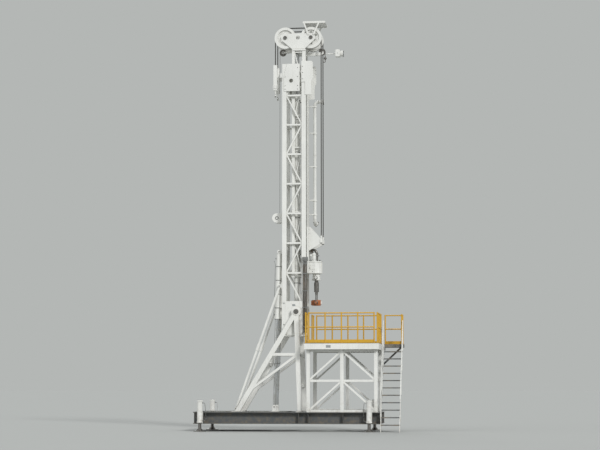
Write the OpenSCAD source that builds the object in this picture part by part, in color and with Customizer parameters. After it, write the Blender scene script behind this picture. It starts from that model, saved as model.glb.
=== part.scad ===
// Drilling rig: a telescoping open-frame mast with a top drive, pinned in two A-frames on a
// skid that stands on four jacks, with a raised drill floor at the well side.
// +X points to the well side, +Z up. The origin is on the ground at the middle of the footprint.

/* [Skid and jacks] */
// Height of the skid's underside above the ground
skid_z = 260; // [180:10:400]
// Depth of the skid's runners and cross beams
beam_h = 400; // [320:10:480]
// Outer width of a runner's flange
runner_w = 210; // [180:5:240]
// Distance from the centre line to a runner's web
runner_in = 900; // [860:10:960]
// Thickness of the runners' flanges
flange_t = 24; // [16:1:30]
// Thickness of the runners' webs
web_t = 16; // [12:1:20]
// Length from the origin to either end of the footprint
half_len = 3560; // [3480:10:3700]
// Radius of a jack's foot pad
pad_r = 220; // [180:10:240]
// Radius of a jack's barrel
jack_r = 90; // [70:5:100]
// Radius of a jack's rod
jack_rod_r = 55; // [40:5:65]

/* [A-frames] */
// Height of the mast's pivot pins
pivot_z = 4100; // [4000:10:4250]
// Place of the pivot pins along the rig
pivot_x = -50; // [-120:10:20]
// Radius of the pivot pins
pivot_r = 60; // [45:1:75]
// Place of the A-frames' rear feet
rear_foot_x = -2100; // [-2300:10:-1900]
// Place of the A-frames' front feet
front_foot_x = 80; // [40:10:120]
// Width of an A-frame's legs
frame_leg_w = 160; // [120:10:200]
// Thickness of an A-frame across the rig
frame_t = 120; // [90:10:150]
// Place of the raising cylinders' feet
raise_foot_x = -850; // [-1000:10:-840]
// Height of the raising cylinders' eyes on the mast
raise_top_z = 6200; // [5900:10:6400]
// Place of the back struts' feet
strut_foot_x = -2160; // [-2200:10:-2120]
// Height of the back struts' eyes on the mast
strut_top_z = 5000; // [4900:10:5200]
// Radius of a back strut
strut_r = 45; // [35:1:50]

/* [Drill floor and stair] */
// Height of the drill floor's top
floor_z = 3000; // [2800:10:3060]
// Near end of the drill floor, beside the mast
floor_x0 = 290; // [280:5:295]
// Far end of the drill floor
floor_x1 = 2840; // [2700:10:2860]
// Half of the drill floor's width
floor_hw = 1250; // [1180:10:1300]
// Depth of the floor's beams
floor_beam = 200; // [160:10:240]
// Thickness of the floor's plate
floor_plate_t = 12; // [8:1:20]
// Height of the handrails above the floor
rail_h = 1050; // [950:10:1100]
// Radius of a handrail post
rail_r = 24; // [20:1:28]
// Number of risers in the stair
stair_n = 12; // [10:1:14]
// Radius of the bore in the slip bowl
rotary_r = 150; // [120:5:155]

/* [Mast] */
// Width of an outer leg
leg_w = 150; // [120:5:160]
// Middle of the outer rear legs
leg_rear_x = -490; // [-520:5:-480]
// Middle of the outer front legs
leg_front_x = 190; // [180:5:200]
// Middle of the outer legs across the rig
leg_y = 450; // [445:5:480]
// Lower end of the outer legs
mast_foot_z = 3300; // [3200:10:3400]
// Upper end of the outer legs
mast_top_z = 12800; // [12600:10:13000]
// Width of the outer lacing bars
lace_w = 60; // [40:2:70]
// Number of lacing bays in the outer mast
bays = 9; // [7:1:11]
// Width of an inner leg
inner_w = 100; // [80:5:100]
// Middle of the inner rear legs
inner_rear_x = -190; // [-280:5:-170]
// Middle of the inner front legs
inner_front_x = 170; // [160:5:180]
// Gap between the inner and the outer legs
slide_gap = 5; // [5:1:8]
// Lower end of the inner legs
inner_foot_z = 5300; // [5200:10:5350]
// Underside of the crown's base
crown_z = 13300; // [13150:10:13400]
// Radius of a hoist cylinder's barrel
barrel_r = 85; // [70:1:90]
// Radius of a hoist cylinder's rod
rod_r = 50; // [40:1:60]
// Running gap at pins, rods and shafts
run_gap = 0.3; // [0.2:0.1:0.5]

/* [Crown and ropes] */
// Outer radius of a crown sheave
sheave_r = 380; // [340:5:400]
// Width of a crown sheave
sheave_w = 130; // [120:5:140]
// Place of the rear sheave shaft
shaft_rear_x = -480; // [-520:5:-460]
// Place of the front sheave shaft
shaft_front_x = 430; // [400:5:450]
// Middle of a pair of sheaves across the rig
sheave_y = 300; // [290:5:320]
// Radius of a sheave shaft
shaft_r = 45; // [35:1:55]
// Radius of a hoist rope
rope_r = 14; // [10:1:16]
// Spacing of the two ropes on one sheave
rope_pitch = 56; // [48:2:60]

/* [Top drive] */
// Place of the well's centre line
well_x = 580; // [575:5:640]
// Height of the carriage's lower edge
carriage_z = 5450; // [5400:10:5600]
// Height of the carriage plate
carriage_h = 1610; // [1500:10:1700]
// Radius of the quill
quill_r = 65; // [55:1:75]

/* [Standpipe and tugger] */
// Radius of the standpipe
pipe_r = 57; // [45:1:60]
// Height of the standpipe's inlet
pipe_z0 = 7290; // [7000:10:7600]
// Height of the gooseneck's outlet
pipe_z1 = 11620; // [11400:10:11800]
// Height of the tugger winch's drum
winch_z = 7400; // [7250:10:7600]
// Radius of the tugger winch's drum
drum_r = 70; // [60:5:80]
// Radius of the tugger line
line_r = 7; // [5:1:9]

/* [Hidden] */
$fn = 48;

white = "whitesmoke";
steel = "silver";
dark = "dimgray";

skid_top = skid_z + beam_h;
runner_out = runner_in + runner_w;
runner_mid = runner_in + runner_w / 2;
skid_front_x = floor_x1 + 20;
jack_y = runner_out + jack_r + 30;
foot_half_y = jack_y + pad_r;
jack_xs = [-half_len + pad_r + 40, skid_front_x - pad_r - 140];
cross_w = 180;
cross_xs = [-half_len + cross_w / 2, strut_foot_x, raise_foot_x, front_foot_x, 1900,
            skid_front_x - cross_w / 2];

leg_in_y = leg_y - leg_w / 2;
leg_out_y = leg_y + leg_w / 2;
rear_face_x = leg_rear_x - leg_w / 2;
front_face_x = leg_front_x + leg_w / 2;
bay_h = (mast_top_z - mast_foot_z - leg_w) / bays;
mast_span = [leg_rear_x + leg_w / 2, leg_front_x - leg_w / 2];

inner_out_y = leg_in_y - slide_gap;
inner_in_y = inner_out_y - inner_w;
inner_y = inner_out_y - inner_w / 2;
inner_face_x = inner_front_x + inner_w / 2;
inner_lace = 40;
inner_bays = 7;
inner_bay_h = (crown_z - inner_foot_z - inner_w) / inner_bays;
rail_t = 20;
rail_lip = 60;
rail_in_y = inner_in_y - rail_lip;

gusset_t = 30;
frame_in_y = leg_out_y + gusset_t + 45;
boss_r = 170;

raise_y = 290;
raise_foot_z = skid_top + 170;
raise_top_x = rear_face_x - 125;
raise_eye_r = 70;
raise_eye_w = 80;
raise_pin_r = 32;
raise_beam = 200;
raise_run = [raise_top_x - raise_foot_x, raise_top_z - raise_foot_z];
raise_len = norm(raise_run);
raise_neck = raise_eye_r + 10;
raise_barrel_r = 95;
raise_rod_rs = [78, 62];
raise_stage = raise_len * 0.42;
raise_lean = atan2(raise_run[0], raise_run[1]);
strut_top_x = rear_face_x - 90;
strut_foot_z = skid_top + 120;
strut_eye_r = 55;
strut_eye_w = 60;
strut_pin_r = 25;
strut_run = [strut_top_x - strut_foot_x, strut_top_z - strut_foot_z];

cyl_x = inner_rear_x + 95;
cyl_y = inner_in_y - 95;
barrel_top_z = 11700;
barrel_wall = 15;
rod_foot_z = 5950;

base_t = 60;
base_top = crown_z + base_t;
shaft_z = base_top + 20 + sheave_r;
cheek_t = 20;
cheek_gap = 10;
groove_r = rope_r + 0.5;
rope_line_r = sheave_r - 25;
front_rope_x = shaft_front_x + rope_line_r;
rear_rope_x = shaft_rear_x - rope_line_r;
anchor_h = 900;
anchor_w = 130;
anchor_z = mast_top_z;
head_plate_t = 20;
head_plate_z = 11830;
anchor_beam_x = rear_face_x - 75;

carriage_x = inner_face_x + rail_t + 45;
carriage_t = 60;
carriage_face = carriage_x + carriage_t;
carriage_top = carriage_z + carriage_h;
carriage_hw = 380;
lug_z = carriage_top - 420;
socket_z = lug_z + 110;
gearbox_h = 420;
gearbox_r = 190;
gearbox_hw = 235;
gearbox_top = carriage_z + gearbox_h;
bowl_r = rotary_r + 50;
handler_h = 240;
link_y = 215;
link_top_z = carriage_z - 150;
link_low_z = 4430;
link_r = 18;
link_pin_r = 26;
quill_foot_z = 4720;

deck_t = 8;
post = 120;
floor_under = floor_z - floor_plate_t - floor_beam;
leg_line_y = runner_mid;
stringer_t = 16;
stair_rail_w = 36;
stair_x0 = floor_x1 + 25 + stair_rail_w;
stair_x1 = half_len - stair_rail_w;
riser = floor_z / stair_n;
landing_w = 700;
landing_y0 = floor_hw - landing_w;
stair_foot_y = -foot_half_y + 100;
going = (landing_y0 - stair_foot_y) / stair_n;

pipe_x = 460;
pipe_y = leg_out_y + pipe_r + 38;
pipe_bend = 130;
clamp_zs = [pipe_z1 - 200, 10460, 9260, 8060, pipe_z0 + 260];

hose_r = 19;
hose_pitch = 52;
hose_x = leg_front_x + 8;
hose_z0 = mast_foot_z + 130;
hose_z1 = 5790;
foot_top_z = pivot_z + 370;
clip_zs = [3560, 4230, 4800, 5400];

drum_x = rear_face_x - 225;
line_x = drum_x + drum_r + line_r + run_gap;
tug_r = 110;
tug_rim = 44;
tug_pin_r = 20;
tug_pin_h = 50;
tug_groove_r = line_r + 0.6;
tug_z = crown_z;
tug_rear_x = line_x + tug_r;
tug_front_x = 790;
hook_drop = 150;
lamp_x = 1240;
lamp_y = 50;

// A straight bar of width w between two points of a plane
module bar(p, q, w) {
    n = [q[1] - p[1], p[0] - q[0]] / norm(q - p) * w / 2;
    polygon([p + n, q + n, q - n, p - n]);
}

// Children drawn in X and Z, thickened from y0 to y0 + t
module in_xz(y0, t) {
    translate([0, y0 + t, 0]) rotate([90, 0, 0]) linear_extrude(t) children();
}

// Children drawn in Y and Z, thickened from x0 to x0 + t
module in_yz(x0, t) {
    translate([x0, 0, 0]) rotate([90, 0, 90]) linear_extrude(t) children();
}

// Children and their mirror image across the rig's middle plane
module both_sides() {
    children();
    mirror([0, 1, 0]) children();
}

// A round bar along Y from y0 to y1
module pin_y(x, z, r, y0, y1) {
    translate([x, y1, z]) rotate([90, 0, 0]) cylinder(r = r, h = y1 - y0);
}

// A quarter turn of a round bar about a Y axis, starting from the angle a above +X
module rope_quarter(x, y, z, line, r, a) {
    translate([x, y, z]) rotate([90, 0, 0]) rotate([0, 0, a])
        rotate_extrude(angle = 90) translate([line, 0]) circle(r = r);
}

// An I section of depth h and width w, drawn about its middle line
module i_section(h, w, tf, tw) {
    translate([-w / 2, 0]) square([w, tf]);
    translate([-w / 2, h - tf]) square([w, tf]);
    translate([-tw / 2, 0]) square([tw, h]);
}

module runner() {
    length = half_len + skid_front_x;
    rib_xs = [for (x = jack_xs) each [x - jack_r, x + jack_r], front_foot_x, floor_x0 + post, 1600];
    translate([-half_len, 0, skid_z]) {
        rotate([90, 0, 90]) linear_extrude(length) {
            translate([runner_in, 0]) square([runner_w, flange_t]);
            translate([runner_in, beam_h - flange_t]) square([runner_w, flange_t]);
            translate([runner_in, 0]) square([web_t, beam_h]);
        }
    }
    for (x = rib_xs)
        translate([x - 6, runner_in + web_t - 1, skid_z + flange_t - 1])
            cube([12, runner_w - web_t - 10, beam_h - 2 * flange_t + 2]);
}

module skid_runners() {
    color(dark) both_sides() runner();
}

module skid_cross_beams() {
    color(dark)
        for (x = cross_xs)
            translate([x, runner_in, skid_z]) rotate([90, 0, 0]) linear_extrude(2 * runner_in)
                i_section(beam_h, cross_w, flange_t, web_t);
}

// Chequer plate over the rear of the skid, cut out round the feet that stand on the beams
module rear_deck() {
    clear = 10;
    foot_w = frame_leg_w + 140;
    raise_cut = [260, 190];
    strut_cut = [190, 150];
    color(dark) difference() {
        translate([-half_len, -runner_out, skid_top])
            cube([half_len - 420, 2 * runner_out, deck_t]);
        both_sides() {
            translate([rear_foot_x - foot_w / 2 - 60 - clear, frame_in_y - clear, skid_top - 1])
                cube([foot_w + 60 + 2 * clear, frame_t + 2 * clear, deck_t + 2]);
            translate([raise_foot_x - raise_cut[0] / 2, raise_y - raise_cut[1] / 2, skid_top - 1])
                cube([raise_cut[0], raise_cut[1], deck_t + 2]);
            translate([strut_foot_x - strut_cut[0] / 2, leg_y - strut_cut[1] / 2, skid_top - 1])
                cube([strut_cut[0], strut_cut[1], deck_t + 2]);
        }
    }
}

module jack_barrels() {
    low = skid_z + 40;
    tall = 760;
    collar_h = 40;
    bore_h = 600;
    color(white) both_sides() for (x = jack_xs) {
        difference() {
            union() {
                translate([x, jack_y, low]) cylinder(r = jack_r, h = tall);
                for (z = [low, low + tall - collar_h])
                    translate([x, jack_y, z]) cylinder(r = jack_r + 14, h = collar_h);
                for (s = [-1, 1])
                    translate([x + s * (jack_r - 20) - 10, runner_out, low])
                        cube([20, jack_y - runner_out, beam_h - 40]);
                translate([x - jack_r, runner_out, skid_z]) cube([2 * jack_r, 20, beam_h]);
            }
            translate([x, jack_y, low - 1]) cylinder(r = jack_rod_r + run_gap, h = bore_h);
        }
    }
}

module jack_feet() {
    top = skid_z + 540;
    color(steel) both_sides() for (x = jack_xs) translate([x, jack_y, 0]) {
        cylinder(r = pad_r, h = 24);
        translate([0, 0, 23]) cylinder(r1 = pad_r * 0.55, r2 = jack_rod_r + 18, h = 70);
        translate([0, 0, 60]) cylinder(r = jack_rod_r, h = top - 60);
    }
}

module a_frame_profile() {
    apex = [pivot_x, pivot_z];
    front = [front_foot_x, skid_top];
    rear = [rear_foot_x, skid_top];
    drop = [0, frame_leg_w / 2];
    tie_up = 250;
    tie_z = (skid_top + pivot_z) / 2 + tie_up;
    t = (pivot_z - tie_z) / (pivot_z - skid_top);
    knee = 0.62;
    difference() {
        union() {
            bar(front, apex, frame_leg_w);
            bar(rear, apex, frame_leg_w);
            bar(apex + (front - apex) * t, apex + (rear - apex) * t, frame_leg_w * 0.6);
            bar(apex + (front - apex) * t, apex + (rear - apex) * (t + knee * (1 - t)),
                frame_leg_w * 0.5);
            translate(apex) circle(r = boss_r);
        }
        translate([rear_foot_x - 500, skid_top - 500]) square([3200, 500]);
    }
    translate([front_foot_x - frame_leg_w / 2 - 60, skid_top]) square([frame_leg_w + 120, flange_t]);
    translate([rear_foot_x - frame_leg_w / 2 - 100, skid_top]) square([frame_leg_w + 160, flange_t]);
}

module a_frame() {
    color(white) difference() {
        union() {
            in_xz(frame_in_y, frame_t) a_frame_profile();
            pin_y(pivot_x, pivot_z, boss_r * 0.75, leg_out_y + gusset_t + 5, frame_in_y + frame_t + 20);
        }
        pin_y(pivot_x, pivot_z, pivot_r + run_gap, 0, frame_in_y + frame_t + 60);
    }
}

// Square tubes that hold the two A-frames apart
module a_frame_ties() {
    tie_w = 100;
    rear_tie_z = 2300;
    front_tie_zs = [1500, 2550];
    along = (pivot_z - rear_tie_z) / (pivot_z - skid_top);
    rear_x = pivot_x + (rear_foot_x - pivot_x) * along;
    front_x = pivot_x + (front_foot_x - pivot_x) * 0.75;
    color(white) {
        translate([rear_x - tie_w / 2, -frame_in_y, rear_tie_z - tie_w / 2])
            cube([tie_w, 2 * frame_in_y, tie_w]);
        for (z = front_tie_zs)
            translate([front_x - tie_w / 2, -frame_in_y, z]) cube([tie_w, 2 * frame_in_y, tie_w]);
    }
}

module pivot_pins() {
    cap = 18;
    color(steel) both_sides() {
        pin_y(pivot_x, pivot_z, pivot_r, leg_out_y - 30, frame_in_y + frame_t + 22);
        pin_y(pivot_x, pivot_z, pivot_r + 26, frame_in_y + frame_t + 21, frame_in_y + frame_t + 21 + cap);
    }
}

// One pair of clevis ears with its pin, opening upwards, its base plate under it
module clevis(base, eye_r, eye_w, pin_r, ear_t) {
    gap = eye_w / 2 + 3;
    for (s = [-1, 1])
        in_xz(s * (gap + ear_t / 2) - ear_t / 2, ear_t) {
            circle(r = eye_r);
            translate([-eye_r, -base]) square([2 * eye_r, base]);
        }
    pin_y(0, 0, pin_r, -gap - ear_t - 14, gap + ear_t + 14);
    translate([-eye_r - 30, -gap - ear_t - 12, -base])
        cube([2 * eye_r + 60, 2 * (gap + ear_t + 12), 24]);
}

module raising_clevis(base) {
    clevis(base, raise_eye_r, raise_eye_w, raise_pin_r, 26);
}

module strut_clevis(base) {
    clevis(base, strut_eye_r, strut_eye_w, strut_pin_r, 20);
}

module clevises() {
    color(white) both_sides() {
        translate([raise_foot_x, raise_y, raise_foot_z]) raising_clevis(raise_foot_z - skid_top);
        translate([raise_top_x, raise_y, raise_top_z]) rotate([0, -90, 0])
            raising_clevis(rear_face_x - raise_top_x);
        translate([strut_foot_x, leg_y, strut_foot_z]) strut_clevis(strut_foot_z - skid_top);
        translate([strut_top_x, leg_y, strut_top_z]) rotate([0, -90, 0])
            strut_clevis(rear_face_x - strut_top_x);
    }
}

// A raising cylinder's barrel, with its eye on the mast
module raising_barrel() {
    bore_z = 300;
    difference() {
        union() {
            pin_y(0, 0, raise_eye_r, -raise_eye_w / 2, raise_eye_w / 2);
            translate([-50, -raise_eye_w / 2, 0]) cube([100, raise_eye_w, raise_neck + 1]);
            translate([0, 0, raise_neck]) cylinder(r = raise_barrel_r, h = raise_stage);
            translate([0, 0, raise_neck + raise_stage - 60]) cylinder(r = raise_barrel_r + 13, h = 60);
        }
        pin_y(0, 0, raise_pin_r + run_gap, -raise_eye_w, raise_eye_w);
        translate([0, 0, bore_z]) cylinder(r = raise_rod_rs[0] + run_gap, h = raise_stage);
    }
}

module raising_rod() {
    low = raise_neck + raise_stage - 400;
    mid = raise_len * 0.72;
    difference() {
        union() {
            translate([0, 0, low]) cylinder(r = raise_rod_rs[0], h = mid - low);
            translate([0, 0, mid - 50]) cylinder(r = raise_rod_rs[0] + 10, h = 50);
            translate([0, 0, mid - 1]) cylinder(r = raise_rod_rs[1], h = raise_len - raise_neck - mid + 1);
            translate([-50, -raise_eye_w / 2, raise_len - raise_neck - 1])
                cube([100, raise_eye_w, raise_neck + 1]);
            pin_y(0, raise_len, raise_eye_r, -raise_eye_w / 2, raise_eye_w / 2);
        }
        pin_y(0, raise_len, raise_pin_r + run_gap, -raise_eye_w, raise_eye_w);
    }
}

// Children with +Z along a raising cylinder, from its eye on the mast to its foot
module at_raising_cylinders() {
    both_sides() translate([raise_top_x, raise_y, raise_top_z]) rotate([0, 180 + raise_lean, 0])
        children();
}

module raising_barrels() {
    color(white) at_raising_cylinders() raising_barrel();
}

module raising_rods() {
    color(steel) at_raising_cylinders() raising_rod();
}

// The struts that lock the mast upright
module back_struts() {
    length = norm(strut_run);
    neck = strut_eye_r + 10;
    color(white) both_sides() translate([strut_foot_x, leg_y, strut_foot_z])
        rotate([0, atan2(strut_run[0], strut_run[1]), 0]) difference() {
            union() {
                for (z = [0, length]) pin_y(0, z, strut_eye_r, -strut_eye_w / 2, strut_eye_w / 2);
                for (z = [0, length - neck - 1])
                    translate([-35, -strut_eye_w / 2, z]) cube([70, strut_eye_w, neck + 1]);
                translate([0, 0, neck]) cylinder(r = strut_r, h = length - 2 * neck);
                translate([0, 0, length / 2 - 120]) cylinder(r = strut_r + 14, h = 240);
            }
            for (z = [0, length]) pin_y(0, z, strut_pin_r + run_gap, -strut_eye_w, strut_eye_w);
        }
}

// One braced side under the drill floor, standing on a runner
module floor_legs() {
    xs = [floor_x0 + post, (floor_x0 + floor_x1) / 2, floor_x1 - post];
    mid_z = (skid_top + floor_under) / 2;
    inner_z = [skid_top + 40, floor_under - 40];
    brace = 80;
    color(white) {
        in_xz(leg_line_y - post / 2, post)
            for (x = xs) translate([x - post / 2, skid_top]) square([post, floor_under - skid_top]);
        in_xz(leg_line_y - brace / 2, brace) {
            bar([xs[0], mid_z], [xs[2], mid_z], brace);
            bar([xs[0], inner_z[0]], [xs[2], inner_z[0]], brace);
            bar([xs[0], inner_z[1]], [xs[2], inner_z[1]], brace);
            bar([xs[0], inner_z[0]], [xs[1], mid_z], brace * 0.8);
            bar([xs[2], inner_z[0]], [xs[1], mid_z], brace * 0.8);
            bar([xs[0], mid_z], [xs[1], inner_z[1]], brace * 0.8);
            bar([xs[2], mid_z], [xs[1], inner_z[1]], brace * 0.8);
        }
    }
}

module floor_frame() {
    edge = 80;
    joist = 60;
    xs = [well_x + 330, 1500, 2150];
    color(white) translate([0, 0, floor_under]) linear_extrude(floor_beam) {
        difference() {
            translate([floor_x0, -floor_hw]) square([floor_x1 - floor_x0, 2 * floor_hw]);
            translate([floor_x0 + edge, -floor_hw + edge])
                square([floor_x1 - floor_x0 - 2 * edge, 2 * (floor_hw - edge)]);
        }
        for (x = xs) translate([x - joist / 2, -floor_hw]) square([joist, 2 * floor_hw]);
        for (s = [-1, 1], y = [rotary_r + 190, leg_line_y])
            translate([floor_x0, s * y - joist / 2]) square([floor_x1 - floor_x0, joist]);
    }
}

module floor_plate() {
    color(dark) difference() {
        translate([floor_x0, -floor_hw, floor_z - floor_plate_t])
            cube([floor_x1 - floor_x0, 2 * floor_hw, floor_plate_t]);
        translate([well_x, 0, floor_z - floor_plate_t - 1])
            cylinder(r = bowl_r + run_gap, h = floor_plate_t + 2);
    }
}

// The flanged bowl in the floor that the drill string and its slips go through
module slip_bowl() {
    top = floor_z + 30;
    body = 130;
    color(steel) difference() {
        union() {
            translate([well_x, 0, top - body]) cylinder(r = bowl_r, h = body);
            translate([well_x, 0, floor_z]) cylinder(r = bowl_r + 40, h = top - floor_z);
        }
        translate([well_x, 0, top - body - 1]) cylinder(r = rotary_r, h = body + 2);
    }
}

// A straight run of handrail between two points of the floor, with its posts
module rail_run(p, q, posts) {
    step = (q - p) / (posts - 1);
    len = norm(q - p);
    turn = atan2(q[1] - p[1], q[0] - p[0]);
    for (i = [0:posts - 1])
        translate([p[0] + step[0] * i, p[1] + step[1] * i, 0]) {
            cylinder(r = rail_r, h = rail_h);
            translate([-50, -50, 0]) cube([100, 100, 12]);
        }
    for (z = [rail_h * 0.52, rail_h - rail_r])
        translate([p[0], p[1], z]) rotate([0, 0, turn]) rotate([0, 90, 0])
            cylinder(r = rail_r - 3, h = len);
    translate([p[0], p[1], 0]) rotate([0, 0, turn]) translate([0, -5, 12]) cube([len, 10, 110]);
}

module floor_handrails() {
    in = 50;
    corner = 110;
    x0 = floor_x0 + in;
    x1 = floor_x1 - in;
    y = floor_hw - in;
    color("gold") translate([0, 0, floor_z]) {
        for (s = [-1, 1]) {
            rail_run([x0 + corner, s * y], [x1 - corner, s * y], 5);
            rail_run([x0, s * y], [x0, s * (leg_out_y + 200)], 2);
        }
        rail_run([x1, -y], [x1, landing_y0 - in], 4);
        rail_run([half_len - in, y - corner], [half_len - in, landing_y0 + in], 2);
        rail_run([floor_x1 + in, y], [half_len - in, y], 2);
    }
}

module stair_landing() {
    t = 100;
    rim = 60;
    brace_z = 2200;
    color(dark) {
        translate([floor_x1, landing_y0, floor_z - floor_plate_t])
            cube([half_len - floor_x1, landing_w, floor_plate_t]);
        translate([0, 0, floor_z - floor_plate_t - t]) linear_extrude(t + 1) difference() {
            translate([floor_x1, landing_y0]) square([half_len - floor_x1, landing_w]);
            translate([floor_x1 + rim, landing_y0 + rim])
                square([half_len - floor_x1 - 2 * rim, landing_w - 2 * rim]);
        }
        translate([floor_x1, landing_y0, floor_under]) cube([50, landing_w, floor_beam - 20]);
        // Knee brace down to the corner post
        in_xz(leg_line_y - rim / 2, rim) intersection() {
            bar([floor_x1 - post / 2 - rim, brace_z], [half_len - 90, floor_z - t], rim);
            translate([floor_x1 - post / 2, brace_z - 100])
                square([half_len - floor_x1, floor_z - floor_plate_t - brace_z]);
        }
    }
}

// The outer stringer, with the handrail that stands on its outer face
module stringer() {
    foot = [stair_foot_y, 0];
    head = [landing_y0, floor_z - riser * 0.1];
    dir = (head - foot) / norm(head - foot);
    rail_up = 900;
    in_yz(0, stringer_t) intersection() {
        bar(foot - dir * 300, head + dir * 300, 230);
        translate([-foot_half_y, 0]) square([landing_y0 + foot_half_y, floor_z - floor_plate_t]);
    }
    in_yz(stringer_t - 0.5, stair_rail_w - stringer_t + 0.5) {
        bar(foot + dir * 240 + [0, rail_up], head + [-20, rail_up - 60], 40);
        for (t = [0.12, 0.42, 0.7, 0.93])
            translate(foot + (head - foot) * t + [-20, 0]) square([40, rail_up - 10]);
    }
}

module stair_stringers() {
    color(white) {
        translate([stair_x1, 0, 0]) stringer();
        translate([stair_x0, 0, 0]) mirror([1, 0, 0]) stringer();
    }
}

module stair_treads() {
    tread_t = 36;
    tread_d = 220;
    color(dark) for (i = [1:stair_n - 1])
        translate([stair_x0, stair_foot_y + going * i - tread_d / 2, riser * i - tread_t])
            cube([stair_x1 - stair_x0, tread_d, tread_t]);
}

// One lattice side of the outer mast
module mast_side() {
    x = mast_span;
    color(white) {
        for (c = [leg_rear_x, leg_front_x])
            translate([c - leg_w / 2, leg_in_y, mast_foot_z]) cube([leg_w, leg_w, mast_top_z - mast_foot_z]);
        in_xz(leg_y - lace_w / 2, lace_w) for (i = [0:bays]) {
            z = mast_foot_z + leg_w / 2 + bay_h * i;
            bar([x[0] - 20, z], [x[1] + 20, z], lace_w);
            if (i < bays)
                bar(i % 2 == 0 ? [x[0] - 10, z] : [x[1] + 10, z],
                    i % 2 == 0 ? [x[1] + 10, z + bay_h] : [x[0] - 10, z + bay_h], lace_w * 0.8);
        }
    }
}

module mast_rear_bracing() {
    color(white) {
        in_yz(leg_rear_x - lace_w / 2, lace_w) for (i = [0:bays]) {
            z = mast_foot_z + leg_w / 2 + bay_h * i;
            bar([-leg_in_y, z], [leg_in_y, z], lace_w);
            if (i < bays) intersection() {
                s = i % 2 == 0 ? 1 : -1;
                bar([-s * leg_in_y, z], [s * leg_in_y, z + bay_h], lace_w * 0.8);
                translate([-leg_in_y, z - lace_w]) square([2 * leg_in_y, bay_h + 2 * lace_w]);
            }
        }
        translate([rear_face_x, -leg_in_y, raise_top_z - raise_beam / 2])
            cube([leg_w - 40, 2 * leg_in_y, raise_beam]);
    }
}

// The pivot gussets, and the sole plate that the hoist cylinders stand on
module mast_foot() {
    top = foot_top_z;
    sole = 40;
    low = mast_foot_z - sole;
    color(white) {
        both_sides() difference() {
            union() {
                in_xz(leg_out_y, gusset_t) polygon([
                    [rear_face_x, mast_foot_z + 250], [rear_face_x + 180, mast_foot_z],
                    [front_face_x - 180, mast_foot_z], [front_face_x, mast_foot_z + 250],
                    [front_face_x, top - 120], [front_face_x - 60, top],
                    [rear_face_x + 60, top], [rear_face_x, top - 120]
                ]);
                pin_y(pivot_x, pivot_z, boss_r * 0.7, leg_out_y, leg_out_y + gusset_t + 4);
            }
            pin_y(pivot_x, pivot_z, pivot_r + run_gap, 0, leg_out_y + 200);
        }
        difference() {
            translate([rear_face_x, -leg_out_y, low])
                cube([front_face_x - rear_face_x, 2 * leg_out_y, sole]);
            translate([cyl_x, 0, low - 1]) cylinder(r = cyl_y - barrel_r - 20, h = sole + 2);
        }
    }
}

// Plates, guides and the rope anchors' beam at the top of the outer mast
module mast_head() {
    hole_r = 70;
    hole_x = -250;
    hole_z = mast_top_z - 600;
    guide_x = inner_rear_x - inner_w / 2 - slide_gap;
    color(white) {
        both_sides() {
            difference() {
                in_xz(leg_out_y, head_plate_t) polygon([
                    [rear_face_x + 60, head_plate_z], [50, head_plate_z], [50, mast_top_z],
                    [-400, mast_top_z], [rear_face_x + 60, mast_top_z - 450]
                ]);
                pin_y(hole_x, hole_z, hole_r, 0, leg_out_y + 100);
            }
            in_xz(leg_out_y, head_plate_t) polygon([
                [110, mast_top_z - 650], [240, mast_top_z - 650], [240, mast_top_z - 1100],
                [460, mast_top_z - 1100], [460, mast_top_z - 650], [520, mast_top_z - 520],
                [520, mast_top_z + 40], [470, mast_top_z + 90], [110, mast_top_z + 90]
            ]);
            translate([leg_rear_x + lace_w / 2, inner_in_y, mast_top_z - 240])
                cube([guide_x - leg_rear_x - lace_w / 2, leg_in_y - inner_in_y, 240]);
        }
        translate([anchor_beam_x, -leg_out_y + 20, mast_top_z - 480])
            cube([rear_face_x - anchor_beam_x, 2 * leg_out_y - 40, 160]);
    }
}

module hoist_barrels() {
    color(white) both_sides() difference() {
        union() {
            translate([cyl_x, cyl_y, mast_foot_z])
                cylinder(r = barrel_r, h = barrel_top_z - mast_foot_z);
            for (z = [mast_foot_z, barrel_top_z - 90])
                translate([cyl_x, cyl_y, z]) cylinder(r = barrel_r + 12, h = 90);
        }
        translate([cyl_x, cyl_y, rod_foot_z - 400])
            cylinder(r = barrel_r - barrel_wall, h = barrel_top_z - 80 - rod_foot_z + 400);
        translate([cyl_x, cyl_y, barrel_top_z - 100]) cylinder(r = rod_r + run_gap, h = 200);
    }
}

module hoist_rods() {
    piston_h = 120;
    color(steel) both_sides() {
        translate([cyl_x, cyl_y, rod_foot_z]) cylinder(r = rod_r, h = crown_z - rod_foot_z);
        translate([cyl_x, cyl_y, rod_foot_z])
            cylinder(r = barrel_r - barrel_wall - run_gap, h = piston_h);
    }
}

// The dead ends of the hoist ropes: a housing, and the adjusting screws below it
module rope_anchors() {
    low = anchor_z - anchor_h;
    color(white) both_sides() {
        translate([rear_rope_x - anchor_w / 2, sheave_y - anchor_w / 2, low])
            cube([anchor_w, anchor_w, anchor_h]);
        translate([rear_rope_x - anchor_w / 2 - 15, sheave_y - anchor_w / 2 - 15, low + 60])
            cube([anchor_w + 30, anchor_w + 30, 120]);
        translate([rear_rope_x, sheave_y - 25, mast_top_z - 460])
            cube([anchor_beam_x - rear_rope_x, 50, 120]);
        for (s = [-1, 1]) translate([rear_rope_x, sheave_y + s * rope_pitch / 2, low - 260]) {
            cylinder(r = 18, h = 262);
            translate([0, 0, 60]) cylinder(r = 27, h = 40, $fn = 6);
        }
    }
}

// Children at each of the four hoist ropes
module at_ropes() {
    for (side = [-1, 1], s = [-1, 1])
        translate([0, side * sheave_y + s * rope_pitch / 2, 0]) children();
}

module rear_hoist_ropes() {
    color(dark) at_ropes() translate([rear_rope_x, 0, anchor_z])
        cylinder(r = rope_r, h = shaft_z - anchor_z);
}

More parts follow.
